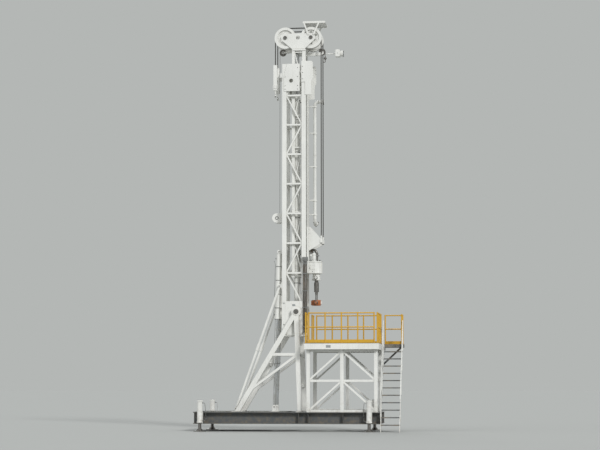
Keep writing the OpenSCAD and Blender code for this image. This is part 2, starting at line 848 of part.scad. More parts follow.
module front_hoist_ropes() {
    color(dark) at_ropes() translate([front_rope_x, 0, socket_z])
        cylinder(r = rope_r, h = shaft_z - socket_z);
}

// The part of each hoist rope that lies over the two sheaves
module crown_ropes() {
    color(dark) at_ropes() {
        rope_quarter(shaft_rear_x, 0, shaft_z, rope_line_r, rope_r, 90);
        rope_quarter(shaft_front_x, 0, shaft_z, rope_line_r, rope_r, 0);
        translate([shaft_rear_x, 0, shaft_z + rope_line_r]) rotate([0, 90, 0])
            cylinder(r = rope_r, h = shaft_front_x - shaft_rear_x);
    }
    color(dark) crown_tugger_line();
}

// The tugger line over the arm's two small sheaves
module crown_tugger_line() {
    rope_quarter(tug_rear_x, 0, tug_z, tug_r, line_r, 90);
    rope_quarter(tug_front_x, 0, tug_z, tug_r, line_r, 0);
    translate([tug_rear_x, 0, tug_z + tug_r]) rotate([0, 90, 0])
        cylinder(r = line_r, h = tug_front_x - tug_rear_x);
    translate([tug_front_x + tug_r, 0, tug_z - hook_drop]) cylinder(r = line_r, h = hook_drop);
}

// One lattice side of the inner mast, with the rail that the carriage runs on
module inner_side() {
    x = [inner_rear_x + inner_w / 2, inner_front_x - inner_w / 2];
    color(white) {
        for (c = [inner_rear_x, inner_front_x])
            translate([c - inner_w / 2, inner_in_y, inner_foot_z])
                cube([inner_w, inner_w, crown_z - inner_foot_z]);
        translate([inner_face_x, rail_in_y, inner_foot_z])
            cube([rail_t, rail_lip + inner_w - 5, crown_z - inner_foot_z]);
        in_xz(inner_y - inner_lace / 2, inner_lace) for (i = [0:inner_bays]) {
            z = inner_foot_z + inner_w / 2 + inner_bay_h * i;
            bar([x[0] - 20, z], [x[1] + 20, z], inner_lace);
            if (i < inner_bays)
                bar(i % 2 == 1 ? [x[0] - 10, z] : [x[1] + 10, z],
                    i % 2 == 1 ? [x[1] + 10, z + inner_bay_h] : [x[0] - 10, z + inner_bay_h],
                    inner_lace * 0.8);
        }
    }
}

module inner_ties() {
    color(white) for (i = [0:inner_bays])
        translate([inner_rear_x - inner_w / 2, -inner_in_y, inner_foot_z + 30 + inner_bay_h * i])
            cube([inner_lace, 2 * inner_in_y, inner_lace]);
}

module cheek_profile() {
    eye = 150;
    hull() {
        translate([shaft_rear_x, shaft_z]) circle(r = eye, $fn = 32);
        translate([shaft_front_x, shaft_z]) circle(r = eye, $fn = 32);
        translate([inner_rear_x - inner_w / 2, base_top])
            square([inner_front_x - inner_rear_x + inner_w, 20]);
    }
}

// The crown's base, and the four cheek plates that carry the sheave shafts
module crown_frame() {
    inner = sheave_y - sheave_w / 2 - cheek_gap - cheek_t;
    outer = sheave_y + sheave_w / 2 + cheek_gap;
    color(white) {
        difference() {
            union() {
                both_sides() for (y = [inner, outer]) in_xz(y, cheek_t) cheek_profile();
                translate([inner_rear_x - inner_w / 2, -outer - cheek_t, crown_z])
                    cube([inner_face_x + rail_t - inner_rear_x + inner_w / 2,
                          2 * (outer + cheek_t), base_t]);
            }
            for (x = [shaft_rear_x, shaft_front_x])
                pin_y(x, shaft_z, shaft_r + run_gap, -outer - 100, outer + 100);
            pin_y((shaft_rear_x + shaft_front_x) / 2, shaft_z, 70, -outer - 100, outer + 100);
        }
        for (x = [shaft_rear_x + 170, shaft_front_x - 170])
            pin_y(x, shaft_z + 40, 30, -inner - 1, inner + 1);
    }
}

module sheave_shafts() {
    end = sheave_y + sheave_w / 2 + cheek_gap + cheek_t;
    color(steel) for (x = [shaft_rear_x, shaft_front_x]) {
        pin_y(x, shaft_z, shaft_r, -end - 20, end + 20);
        both_sides() pin_y(x, shaft_z, shaft_r + 20, end + 4, end + 30);
    }
}

// One twin-groove sheave: hub, holed web and rim
module sheave(x, side) {
    rim_in = sheave_r - 95;
    hub = shaft_r + 45;
    web = 30;
    rim_w = sheave_w - 14;
    hole_line = (rim_in + hub) / 2;
    color(white) translate([x, side * sheave_y, shaft_z]) rotate([90, 0, 0]) difference() {
        rotate_extrude() difference() {
            union() {
                translate([shaft_r + run_gap, -sheave_w / 2]) square([hub - shaft_r, sheave_w]);
                translate([hub - 5, -web / 2]) square([rim_in - hub + 10, web]);
                translate([rim_in, -rim_w / 2]) square([sheave_r - rim_in, rim_w]);
            }
            for (s = [-1, 1]) translate([rope_line_r, s * rope_pitch / 2]) {
                circle(r = groove_r);
                polygon([[0, -groove_r], [60, -groove_r - 16], [60, groove_r + 16], [0, groove_r]]);
            }
        }
        for (a = [30:60:330]) rotate([0, 0, a]) translate([hole_line, 0, -web])
            cylinder(r = 52, h = 2 * web);
    }
}

// The guard plate over the front sheaves, on four stays from the outer cheeks
module crown_hood() {
    outer = sheave_y + sheave_w / 2 + cheek_gap;
    top = shaft_z + sheave_r + 190;
    under = top - 40;
    x0 = shaft_front_x - 280;
    x1 = shaft_front_x + 510;
    stay = 30;
    stay_y = outer + cheek_t;
    color(white) {
        translate([x0, -stay_y - stay, under]) cube([x1 - x0, 2 * (stay_y + stay), 12]);
        both_sides() in_xz(stay_y, stay) {
            translate([x0, under - 30]) square([x1 - x0, 70]);
            bar([shaft_front_x - 90, shaft_z + 90], [x0 + 40, under], 50);
            bar([shaft_front_x + 90, shaft_z + 90], [x1 - 220, under], 50);
        }
    }
}

// The two small sheaves' brackets and the arm at the well side, with the lamp's rod
module crown_jib() {
    ear = 12;
    gap = 26;
    base_x = [inner_rear_x - inner_w / 2, inner_face_x + rail_t];
    color(white) {
        both_sides() {
            in_xz(gap, ear) {
                difference() {
                    union() {
                        bar([base_x[0], crown_z + 30], [tug_rear_x, tug_z], 60);
                        translate([tug_rear_x, tug_z]) circle(r = 45);
                    }
                    translate([tug_rear_x, tug_z]) circle(r = tug_pin_r + run_gap);
                    translate([base_x[0], crown_z - 200]) square([300, 400]);
                }
            }
            in_xz(gap, ear) difference() {
                union() {
                    translate([base_x[1], crown_z - 130]) square([tug_front_x - base_x[1], 120]);
                    translate([tug_front_x, tug_z - 30]) circle(r = 60);
                }
                translate([tug_front_x, tug_z]) circle(r = tug_pin_r + run_gap);
            }
        }
        translate([base_x[1], -gap - 1, crown_z - 130]) cube([260, 2 * gap + 2, 30]);
        // The arm's root plate hangs from the crown's base, outside the rails' way
        translate([base_x[1], -gap - ear - 60, crown_z - 150]) cube([16, 2 * (gap + ear + 60), 150 + base_t]);
        translate([tug_front_x - 120, lamp_y, tug_z - 60]) rotate([0, 90, 0])
            cylinder(r = 17, h = lamp_x - tug_front_x + 120);
    }
}

module jib_sheaves() {
    color(steel) for (x = [tug_rear_x, tug_front_x]) translate([x, 0, tug_z]) rotate([90, 0, 0]) {
        rotate_extrude() difference() {
            translate([0, -tug_rim / 2]) square([tug_r + 12, tug_rim]);
            translate([tug_r, 0]) circle(r = tug_groove_r);
            translate([tug_r, 0])
                polygon([[0, -tug_groove_r], [30, -tug_rim / 2 + 4], [30, tug_rim / 2 - 4], [0, tug_groove_r]]);
        }
        translate([0, 0, -tug_pin_h]) cylinder(r = tug_pin_r, h = 2 * tug_pin_h);
    }
}

module tugger_line() {
    color(dark) translate([line_x, 0, winch_z]) cylinder(r = line_r, h = tug_z - winch_z);
}

// The overhaul weight and hook, stowed under the arm's end
module tugger_hook() {
    color(steel) translate([tug_front_x + tug_r, 0, tug_z - hook_drop]) {
        translate([0, 0, -40]) cylinder(r = 20, h = 40);
        translate([0, 0, -80]) sphere(r = 50);
        translate([0, 0, -190]) cylinder(r = 13, h = 90);
        translate([-32, 0, -190]) rotate([90, 0, 0]) rotate([0, 0, -190])
            rotate_extrude(angle = 200) translate([32, 0]) circle(r = 11);
    }
}

module floodlight() {
    color(white) translate([lamp_x, lamp_y, tug_z - 60]) {
        rotate([0, 90, 0]) cylinder(r = 40, h = 30);
        translate([30, -150, -120]) cube([150, 300, 230]);
        translate([180, 0, -5]) rotate([0, 90, 0]) cylinder(r1 = 90, r2 = 118, h = 120);
    }
}

// A quarter bend, a short straight and a hub, that leave the pipe's end along +X
module pipe_outlet() {
    straight = 120;
    translate([pipe_bend, 0, 0]) rotate([90, 0, 0]) rotate([0, 0, 90])
        rotate_extrude(angle = 90) translate([pipe_bend, 0]) circle(r = pipe_r);
    translate([pipe_bend, 0, pipe_bend]) rotate([0, 90, 0]) {
        cylinder(r = pipe_r, h = straight + 1);
        translate([0, 0, straight]) cylinder(r = pipe_r + 24, h = 80);
    }
}

// The mud pipe up the mast, with a gooseneck at its top and an elbow at its foot
module standpipe() {
    low = pipe_z0 + pipe_bend;
    high = pipe_z1 - pipe_bend;
    color(white) translate([pipe_x, pipe_y, 0]) {
        translate([0, 0, low]) cylinder(r = pipe_r, h = high - low);
        translate([0, 0, high]) pipe_outlet();
        translate([0, 0, low]) rotate([0, 0, 90]) mirror([0, 0, 1]) pipe_outlet();
    }
}

module standpipe_clamps() {
    band = 60;
    color(white) for (z = clamp_zs) difference() {
        union() {
            translate([pipe_x, pipe_y, z]) cylinder(r = pipe_r + 18, h = band);
            translate([leg_front_x - 20, leg_out_y, z + 10])
                cube([pipe_x - leg_front_x + 20, pipe_y - leg_out_y - 20, band - 20]);
            translate([leg_front_x - 60, leg_out_y, z - 30]) cube([110, 16, band + 60]);
        }
        translate([pipe_x, pipe_y, z - 1]) cylinder(r = pipe_r, h = band + 2);
    }
}

// Three hydraulic hoses strapped to the near front leg, from their couplings to a valve block
module hydraulic_lines() {
    y = -leg_out_y - gusset_t - hose_r - 18;
    nut_r = hose_r + 7;
    nut_h = 60;
    lap = 0.5;
    block_hw = 45;
    block_h = 140;
    clip_h = 40;
    clip_lap = 6;
    color("dimgray") {
        for (i = [0:2]) translate([hose_x + hose_pitch * i, y, 0]) {
            translate([0, 0, hose_z0]) cylinder(r = hose_r, h = hose_z1 - hose_z0);
            for (z = [hose_z0 - nut_h, hose_z1 - lap])
                translate([0, 0, z]) rotate([0, 0, 30]) cylinder(r = nut_r, h = nut_h + lap, $fn = 6);
        }
        translate([hose_x - block_hw, y - block_hw, hose_z1 + nut_h - 1])
            cube([2 * (hose_pitch + block_hw), 2 * block_hw, block_h]);
        translate([hose_x - block_hw + 5, y, hose_z1 + nut_h + 20])
            cube([2 * block_hw, -y - leg_out_y, block_h - 42]);
        for (z = clip_zs) {
            wall = z < foot_top_z ? gusset_t : 0;
            translate([hose_x - hose_r - 11, y - hose_r - clip_lap, z])
                cube([2 * (hose_pitch + hose_r + 11), 2 * (hose_r + clip_lap), clip_h]);
            translate([hose_x - hose_r - 1, y + hose_r + clip_lap / 2, z + 4])
                cube([60, -y - hose_r - clip_lap / 2 - leg_out_y - wall, clip_h - 8]);
        }
    }
}

// The winch's frame and motor, and its drum on a shaft through both cheeks
module tugger_winch() {
    back_t = 25;
    side_y = 205;
    flange = 150;
    face = rear_face_x - back_t;
    color(white) {
        pin_y(drum_x, winch_z, 40, -side_y - 17, side_y + 17);
        pin_y(drum_x, winch_z, drum_r, 7 - side_y, side_y - 7);
        for (s = [-1, 1])
            pin_y(drum_x, winch_z, flange, s * (side_y - 15) - 8, s * (side_y - 15) + 8);
        translate([face, -leg_out_y + 100, winch_z - 250]) cube([back_t, 2 * leg_out_y - 200, 510]);
        for (s = [-1, 1]) difference() {
            in_xz(s * (side_y + 10) - 10, 20) {
                translate([drum_x, winch_z]) circle(r = 165);
                translate([drum_x, winch_z - 165]) square([face - drum_x, 330]);
            }
            pin_y(drum_x, winch_z, 40 + run_gap, -side_y - 100, side_y + 100);
        }
        pin_y(drum_x, winch_z, 90, side_y + 20, side_y + 200);
        pin_y(drum_x, winch_z, 115, side_y + 20, side_y + 60);
    }
}

// Shoes round the lips of the rails, the plate between them, and the arms that the ropes lift
module carriage_frame() {
    shoe_h = 320;
    rail_back = inner_face_x;
    gap = 0.5;
    arm_y = sheave_y - 20;
    tip_x = front_rope_x + 40;
    windows = [[carriage_z + 620, 360], [carriage_z + 1090, 380]];
    color(white) difference() {
        union() {
            translate([carriage_x, -carriage_hw, carriage_z]) cube([carriage_t, 2 * carriage_hw, carriage_h]);
            both_sides() {
                for (z = [carriage_z, carriage_top - shoe_h]) {
                    translate([rail_back + rail_t + gap, rail_in_y - 35, z])
                        cube([carriage_x - rail_back - rail_t - gap + 1, 35 + rail_lip + 60, shoe_h]);
                    translate([rail_back - 45, rail_in_y - 35, z])
                        cube([carriage_x - rail_back + 46, 35 - gap, shoe_h]);
                    translate([rail_back - 45, rail_in_y - 35, z])
                        cube([45 - gap, 35 + rail_lip - 8, shoe_h]);
                }
                in_xz(arm_y, 40) polygon([
                    [carriage_face - 5, carriage_top], [carriage_face - 5, carriage_z + 780],
                    [tip_x, lug_z - 130], [tip_x, lug_z - 80], [carriage_face + 60, carriage_top]
                ]);
                translate([front_rope_x - 40, sheave_y - 50, lug_z - 130]) cube([80, 100, 130]);
                for (s = [-1, 1])
                    translate([front_rope_x, sheave_y + s * rope_pitch / 2, lug_z - 1])
                        cylinder(r1 = 20, r2 = 26, h = socket_z - lug_z + 1);
            }
        }
        for (w = windows) translate([carriage_x - 1, -150, w[0]]) cube([carriage_t + 2, 300, w[1]]);
    }
}

// The gearbox seen from above, grown by lip
module gearbox_plan(lip) {
    nose = gearbox_hw - 95;
    translate([well_x, 0]) circle(r = gearbox_r + lip);
    polygon([
        [carriage_face, -gearbox_hw - lip], [well_x - 20, -gearbox_hw - lip],
        [well_x + 110 + lip, -nose], [well_x + 110 + lip, nose],
        [well_x - 20, gearbox_hw + lip], [carriage_face, gearbox_hw + lip]
    ]);
}

// The drive's main housing: a rounded gearbox with ribs and a blind seat for the quill
module gearbox() {
    flange = 34;
    color(white) difference() {
        union() {
            translate([0, 0, carriage_z]) linear_extrude(gearbox_h) gearbox_plan(0);
            for (z = [carriage_z, gearbox_top - flange])
                translate([0, 0, z]) linear_extrude(flange) gearbox_plan(18);
            for (a = [-45:22.5:45]) translate([well_x, 0, carriage_z]) rotate([0, 0, a])
                translate([0, -8, 0]) cube([gearbox_r + 14, 16, gearbox_h]);
        }
        translate([well_x, 0, carriage_z - 1]) cylinder(r = quill_r + run_gap, h = 261);
    }
}

module drive_motors() {
    x = well_x - 70;
    y = 150;
    color(white) both_sides() translate([x, y, gearbox_top]) {
        cylinder(r = 88, h = 30);
        cylinder(r = 72, h = 250);
        translate([0, 0, 250]) cylinder(r1 = 72, r2 = 48, h = 40);
        translate([-130, -35, 190]) cube([100, 70, 60]);
    }
}

// The wash pipe housing over the quill, with its gooseneck towards the mast
module swivel() {
    top = 300;
    bend = 110;
    r = 42;
    color(steel) translate([well_x, 0, gearbox_top]) {
        cylinder(r = 58, h = top);
        cylinder(r = 66, h = 24);
        translate([0, 0, top - 60]) cylinder(r = 66, h = 60);
        translate([-bend, 0, top]) rotate([90, 0, 0]) rotate_extrude(angle = 150)
            translate([bend, 0]) circle(r = r);
    }
}

// The pin and cap that a link's eye hangs on, from y0 outwards
module link_pin(y0, z) {
    cap_y = link_y + link_r + 5;
    pin_y(well_x, z, link_pin_r, y0, cap_y + 1);
    pin_y(well_x, z, link_pin_r + 16, cap_y, cap_y + 14);
}

module pipe_handler() {
    r = 128;
    color(white) difference() {
        union() {
            translate([well_x, 0, carriage_z - handler_h]) cylinder(r = r, h = handler_h);
            translate([well_x, 0, carriage_z - handler_h]) cylinder(r = r + 22, h = 40);
            both_sides() link_pin(100, link_top_z);
        }
        translate([well_x, 0, carriage_z - handler_h - 1]) cylinder(r = quill_r + 12, h = handler_h + 2);
    }
}

// Two forged links with an eye at each end
module elevator_links() {
    line = link_pin_r + link_r + 2;
    seat = line - link_r - link_pin_r - run_gap;
    top = link_top_z - seat;
    low = link_low_z + seat;
    color(steel) both_sides() translate([well_x, link_y, 0]) {
        for (z = [low, top]) translate([0, 0, z]) rotate([90, 0, 0])
            rotate_extrude() translate([line, 0]) circle(r = link_r);
        translate([0, 0, low + line]) cylinder(r = link_r, h = top - low - 2 * line);
    }
}

module elevator() {
    h = 190;
    bore = 78;
    color("peru") translate([well_x, 0, link_low_z - h / 2]) difference() {
        union() {
            cylinder(r = 150, h = h);
            translate([100, -40, h / 2 - 50]) cube([90, 80, 100]);
            translate([-well_x, 0, h / 2]) both_sides() link_pin(120, 0);
        }
        translate([0, 0, -1]) cylinder(r = bore, h = h + 2);
    }
}

// The turning stem of the top drive, down to the pin of its saver sub
module quill() {
    saver_top = quill_foot_z + 420;
    pin_r = 50;
    color(steel) translate([well_x, 0, 0]) {
        translate([0, 0, quill_foot_z + 90]) cylinder(r = quill_r, h = carriage_z + 250 - quill_foot_z - 90);
        translate([0, 0, quill_foot_z + 90]) cylinder(r = quill_r + 18, h = saver_top - quill_foot_z - 90);
        translate([0, 0, quill_foot_z + 20]) cylinder(r = pin_r, h = 71);
        translate([0, 0, quill_foot_z]) cylinder(r1 = pin_r - 8, r2 = pin_r, h = 20);
    }
}

skid_runners();
skid_cross_beams();
rear_deck();
jack_barrels();
jack_feet();
mirror([0, 1, 0]) a_frame();  // a_frame_near
a_frame();  // a_frame_far
a_frame_ties();
pivot_pins();
clevises();
raising_barrels();
raising_rods();
back_struts();
mirror([0, 1, 0]) floor_legs();  // floor_legs_near
floor_legs();  // floor_legs_far
floor_frame();
floor_plate();
slip_bowl();
floor_handrails();
stair_landing();
stair_stringers();
stair_treads();
mirror([0, 1, 0]) mast_side();  // mast_side_near
mast_side();  // mast_side_far
mast_rear_bracing();
mast_foot();
mast_head();
hoist_barrels();
rope_anchors();
rear_hoist_ropes();
standpipe();
standpipe_clamps();
hydraulic_lines();
tugger_winch();
tugger_line();
mirror([0, 1, 0]) inner_side();  // inner_side_near
inner_side();  // inner_side_far
inner_ties();
hoist_rods();
crown_frame();
sheave_shafts();
crown_hood();
crown_ropes();
front_hoist_ropes();
crown_jib();
jib_sheaves();
tugger_hook();
floodlight();
sheave(shaft_front_x, -1);  // sheave_front_near
sheave(shaft_front_x, 1);  // sheave_front_far
sheave(shaft_rear_x, -1);  // sheave_rear_near
sheave(shaft_rear_x, 1);  // sheave_rear_far
carriage_frame();
gearbox();
drive_motors();
swivel();
pipe_handler();
elevator_links();
elevator();
quill();
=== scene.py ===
import math
import random
from itertools import product

import bpy
from bpy.props import FloatProperty, FloatVectorProperty, IntProperty, PointerProperty
from mathutils import Matrix, Vector


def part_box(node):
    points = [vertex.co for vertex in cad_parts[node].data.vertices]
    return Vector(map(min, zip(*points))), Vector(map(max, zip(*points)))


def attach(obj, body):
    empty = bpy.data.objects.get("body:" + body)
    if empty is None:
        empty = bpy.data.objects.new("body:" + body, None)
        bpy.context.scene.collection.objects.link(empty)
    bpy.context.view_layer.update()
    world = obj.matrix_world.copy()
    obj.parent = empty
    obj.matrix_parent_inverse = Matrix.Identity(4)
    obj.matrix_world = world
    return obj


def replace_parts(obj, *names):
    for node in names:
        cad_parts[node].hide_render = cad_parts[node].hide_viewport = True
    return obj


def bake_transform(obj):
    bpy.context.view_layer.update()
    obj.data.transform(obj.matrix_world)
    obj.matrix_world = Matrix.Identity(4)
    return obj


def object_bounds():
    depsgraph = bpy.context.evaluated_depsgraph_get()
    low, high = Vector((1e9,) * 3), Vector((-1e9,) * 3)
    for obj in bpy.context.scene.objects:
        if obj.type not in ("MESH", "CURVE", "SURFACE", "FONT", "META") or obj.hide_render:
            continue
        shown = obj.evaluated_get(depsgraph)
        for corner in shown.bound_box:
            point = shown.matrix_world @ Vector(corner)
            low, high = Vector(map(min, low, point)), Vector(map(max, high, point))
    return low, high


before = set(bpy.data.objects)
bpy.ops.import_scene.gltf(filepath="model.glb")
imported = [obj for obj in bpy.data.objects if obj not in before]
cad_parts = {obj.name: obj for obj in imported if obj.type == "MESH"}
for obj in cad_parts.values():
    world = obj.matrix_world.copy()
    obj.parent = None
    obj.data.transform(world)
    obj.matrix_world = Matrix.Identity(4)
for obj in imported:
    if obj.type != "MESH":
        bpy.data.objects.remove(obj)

bl_info = {
    "name": "Drilling rig dressing",
    "version": (1, 0, 0),
    "blender": (4, 5, 0),
    "location": "View3D > Sidebar > Rig",
    "description": "Paints and dresses a telescoping drilling rig with a top drive",
    "category": "Object",
}

CAD_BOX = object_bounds()
RNG = random.Random(41)
MM = 0.001
SIDES = (-1, 1)
UP, DOWN = (0, 0, 1), (0, 0, -1)
AHEAD, BACK = (1, 0, 0), (-1, 0, 0)
NEAR, FAR = (0, -1, 0), (0, 1, 0)


def axle(node):
    """The middle of a round node that turns about Y, as x and z."""
    low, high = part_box(node)
    return (low.x + high.x) / 2, (low.z + high.z) / 2


# The outer mast: its legs, lacing bars and bays, and the plates welded to its sides
MAST_LOW, MAST_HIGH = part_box("mast_side_near")
MAST_FACE = -MAST_LOW.y
LEG_W, LACE_W, BAYS = 0.150, 0.060, 9
GUSSET_T, GUSSET_FOOT, GUSSET_TOP, FOOT_TOP = 0.030, 3.56, 4.34, 4.47
# The inner mast: its legs, lacing bars and bays, and the top drive's rail on its front
INNER_LOW, INNER_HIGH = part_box("inner_side_near")
INNER_W, INNER_LACE, INNER_BAYS, RAIL_T = 0.100, 0.040, 7, 0.020
# Edges of the gussets and head plates that show a bead: x and z of one end, x and z of the other
PLATE_EDGES = (
    (MAST_LOW.x, GUSSET_FOOT, MAST_LOW.x, GUSSET_TOP), (MAST_HIGH.x, GUSSET_FOOT, MAST_HIGH.x, GUSSET_TOP),
    (MAST_LOW.x + 0.06, FOOT_TOP, MAST_LOW.x + LEG_W, FOOT_TOP),
    (MAST_HIGH.x - LEG_W, FOOT_TOP, MAST_HIGH.x - 0.06, FOOT_TOP),
    (-0.505, 11.83, -0.415, 11.83), (-0.505, 11.84, -0.505, 12.34),
    (0.115, 12.24, 0.115, 12.80), (0.24, 11.80, 0.24, 12.14))
# Bolts of a head plate: the heights in each row, by the row's x
HEAD_BOLTS = {-0.46: (11.90, 12.02, 12.34), -0.02: (11.90, 12.02, 12.34, 12.66), 0.15: (12.26, 12.48, 12.70)}

# The crown: its sheaves, the foot of their grooves, half the width of a pair of grooves, and the ropes
FRONT_X, SHAFT_Z = axle("sheave_front_near")
REAR_X = axle("sheave_rear_near")[0]
SHEAVE_R, SHEAVE_Y, GROOVE_FOOT, GROOVES_HALF = 0.380, 0.300, 0.3362, 0.050
ROPE_R, ROPE_LINE, ROPE_PITCH = 0.014, 0.355, 0.056
ROPE_YS = [s * SHEAVE_Y + half * ROPE_PITCH / 2 for s, half in product(SIDES, SIDES)]
# The top of the crown's base, the faces of the cheeks on it, and the cheeks' two ends
BASE_TOP, CHEEK_FACES, CHEEK_XS = 13.36, (0.205, 0.225, 0.375, 0.395), (-0.23, 0.21)

# The skid, its jacks, and openings in its deck for the feet on its far side: x and y of two corners
DECK_LOW, DECK_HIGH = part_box("rear_deck")
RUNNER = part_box("skid_runners")[1]
JACK_LOW, JACK_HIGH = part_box("jack_barrels")
JACK_R, JACK_CAP = 0.090, 0.104
JACK_XS, JACK_Y = (JACK_LOW.x + JACK_CAP, JACK_HIGH.x - JACK_CAP), JACK_HIGH.y - JACK_CAP
DECK_CUTS = ((-2.32, 0.59, -1.94, 0.73), (-0.98, 0.195, -0.72, 0.385), (-2.255, 0.375, -2.065, 0.525))

# The A-frames: inner face, thickness, plate under a foot, feet as middle and length, rows of foot bolts,
# and the ties between the frames as x and z
FRAME_Y, FRAME_T, FOOT_PLATE = 0.600, 0.120, 0.024
FRAME_FEET = ((-2.086, 0.186), (0.079, 0.160))
FOOT_BOLT_XS, FOOT_BOLT_Y = ((-2.250, -1.990), (-0.035, 0.195)), 0.640
TIE_W, TIES = 0.100, ((-1.121, 2.30), (0.0475, 1.55), (0.0475, 2.60))
# Pins of the raising cylinders and of the back struts, and half the width of their clevises
RAISE_TOP, RAISE_FOOT, RAISE_HALF = (-0.690, 0.290, 6.200), (-0.850, 0.290, 0.830), 0.083
STRUT_TOP, STRUT_FOOT, STRUT_HALF = (-0.655, 0.450, 5.000), (-2.160, 0.450, 0.780), 0.067

# The drill floor: its plate, its posts with the bars between them, and its runs of handrail as first post,
# last post and how many
FLOOR_LOW, FLOOR_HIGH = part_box("floor_plate")
POST_W, POST_Y, POST_XS, FLOOR_UNDER = 0.120, 1.005, (0.41, 1.565, 2.72), 2.788
BAR_W, BAR_ZS = 0.080, (0.70, 1.724, 2.748)
RAIL_RUNS = (((0.45, -1.20), (2.68, -1.20), 5), ((0.45, 1.20), (2.68, 1.20), 5),
             ((0.34, -1.20), (0.34, -0.725), 2), ((0.34, 1.20), (0.34, 0.725), 2),
             ((2.79, -1.20), (2.79, 0.50), 4), ((3.51, 1.09), (3.51, 0.60), 2),
             ((2.89, 1.20), (3.51, 1.20), 2))

# The well, the top drive's gearbox and motors over it, the carriage's front plate and the links' outer faces
QUILL_LOW, QUILL_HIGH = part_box("quill")
BOWL_LOW, BOWL_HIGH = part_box("slip_bowl")
BOX_LOW, BOX_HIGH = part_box("gearbox")
PLATE_LOW, PLATE_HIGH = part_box("carriage_frame")
WELL_X = (QUILL_LOW.x + QUILL_HIGH.x) / 2
MOTOR_X, MOTOR_Y = WELL_X - 0.070, 0.150
CARRIAGE_FACE, GEARBOX_SIDE = 0.345, 0.235
LINK_FACE, LINK_TOP, LINK_FOOT = 0.252, 5.300, 4.430

# The tugger winch's drum and its line
WINCH_LOW, WINCH_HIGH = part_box("tugger_winch")
DRUM_X, DRUM_Z, DRUM_R = WINCH_LOW.x + 0.165, WINCH_LOW.z + 0.250, 0.070
LINE_R, LINE_STRANDS, LINE_LAY = 0.007, 6, 0.09


def linear(text):
    """An sRGB hex colour as linear red, green, blue and alpha."""
    def channel(c):
        return c / 12.92 if c <= 0.04045 else ((c + 0.055) / 1.055) ** 2.4
    values = [int(text[i:i + 2], 16) / 255 for i in (1, 3, 5)]
    return (*map(channel, values), 1.0)


# Shapes, as lists of points and faces

class Shape:
    """Points, faces and whether each face is smooth, added to piece by piece."""

    def __init__(self, points=(), faces=(), smooth=False):
        self.points, self.faces, self.smooth = [], [], []
        self.add(points, faces, [smooth] * len(faces))

    def add(self, points, faces, smooth):
        """Adds points, faces that count from the first of them, and whether each face is smooth."""
        start = len(self.points)
        self.points.extend(tuple(p) for p in points)
        self.faces.extend(tuple(start + i for i in f) for f in faces)
        self.smooth.extend(smooth)
        return self

    def put(self, other, place=(0, 0, 0)):
        """Adds a copy of another shape, moved to a point or by a matrix."""
        matrix = place if isinstance(place, Matrix) else Matrix.Translation(place)
        return self.add([matrix @ Vector(p) for p in other.points], other.faces, other.smooth)

    def mesh(self, name, material):
        """The shape as a mesh of that material."""
        mesh = bpy.data.meshes.new(name)
        mesh.from_pydata(self.points, [], self.faces)
        mesh.polygons.foreach_set("use_smooth", self.smooth)
        mesh.materials.append(material)
        mesh.update()
        return mesh

    def piece(self, name, maker, body, slot):
        """The shape as an object with that finish, which rides on a body."""
        piece = linked(name, self.mesh(name, finish_of(maker)))
        if body:
            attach(piece, body)
        return piece


def linked(name, data):
    """A new object in the scene."""
    thing = bpy.data.objects.new(name, data)
    bpy.context.scene.collection.objects.link(thing)
    return thing


def angles(count, phase=0.0):
    """That many angles, spread evenly round a turn."""
    return [phase + 2 * math.pi * i / count for i in range(count)]


def loft(rings, caps=True, smooth=True):
    """A shape skinned over closed rings with equal numbers of points."""
    n = len(rings[0])
    points = [p for ring in rings for p in ring]
    faces = []
    for k, i in product(range(len(rings) - 1), range(n)):
        a, b = k * n + i, k * n + (i + 1) % n
        faces.append((a, b, b + n, a + n))
    shape = Shape(points, faces, smooth)
    if caps:
        shape.faces += [tuple(reversed(range(n))), tuple(range(len(points) - n, len(points)))]
        shape.smooth += [False, False]
    return shape


def turned(profile, sides=24, caps=True):
    """A solid turned about Z from (radius, height) pairs, sharp at each pair."""
    rings = [[(r * math.cos(a), r * math.sin(a), z) for a in angles(sides)] for r, z in profile]
    shape = Shape()
    for low, high in zip(rings, rings[1:]):
        shape.put(loft([low, high], caps=False))
    if caps:
        shape.add(rings[0], [tuple(reversed(range(sides)))], [False])
        shape.add(rings[-1], [tuple(range(sides))], [False])
    return shape


def collar(inner, outer, low, high, sides=28):
    """A flat ring about Z with a small chamfer on its outer edges."""
    c = min(3 * MM, (outer - inner) / 3, (high - low) / 3)
    return turned([(inner, low), (outer - c, low), (outer, low + c), (outer, high - c),
                   (outer - c, high), (inner, high), (inner, low)], sides, caps=False)


def block(low, high, chamfer=0.0):
    """A box with chamfered upright edges and rims."""
    (x0, y0, z0), (x1, y1, z1) = low, high
    c = min(chamfer, (x1 - x0) / 3, (y1 - y0) / 3, (z1 - z0) / 3)
    if c <= 0:
        return loft([[(x0, y0, z), (x1, y0, z), (x1, y1, z), (x0, y1, z)] for z in (z0, z1)], smooth=False)

    def ring(z, inset):
        a0, a1, b0, b1 = x0 + inset, x1 - inset, y0 + inset, y1 - inset
        return [(a0 + c, b0, z), (a1 - c, b0, z), (a1, b0 + c, z), (a1, b1 - c, z),
                (a1 - c, b1, z), (a0 + c, b1, z), (a0, b1 - c, z), (a0, b0 + c, z)]
    half = c * 0.6
    return loft([ring(z0, half), ring(z0 + half, 0), ring(z1 - half, 0), ring(z1, half)], smooth=False)


def frames_along(path):
    """The points of a path with two directions across it at each, carried along without twist."""
    points = [Vector(p) for p in path]
    tangents = [(b - a).normalized() for a, b in zip(points[:1] + points, points[1:] + points[-1:])]
    side = tangents[0].orthogonal().normalized()
    frames = []
    for t in tangents:
        side = (side - t * side.dot(t)).normalized()
        frames.append((side, t.cross(side)))
    return points, frames


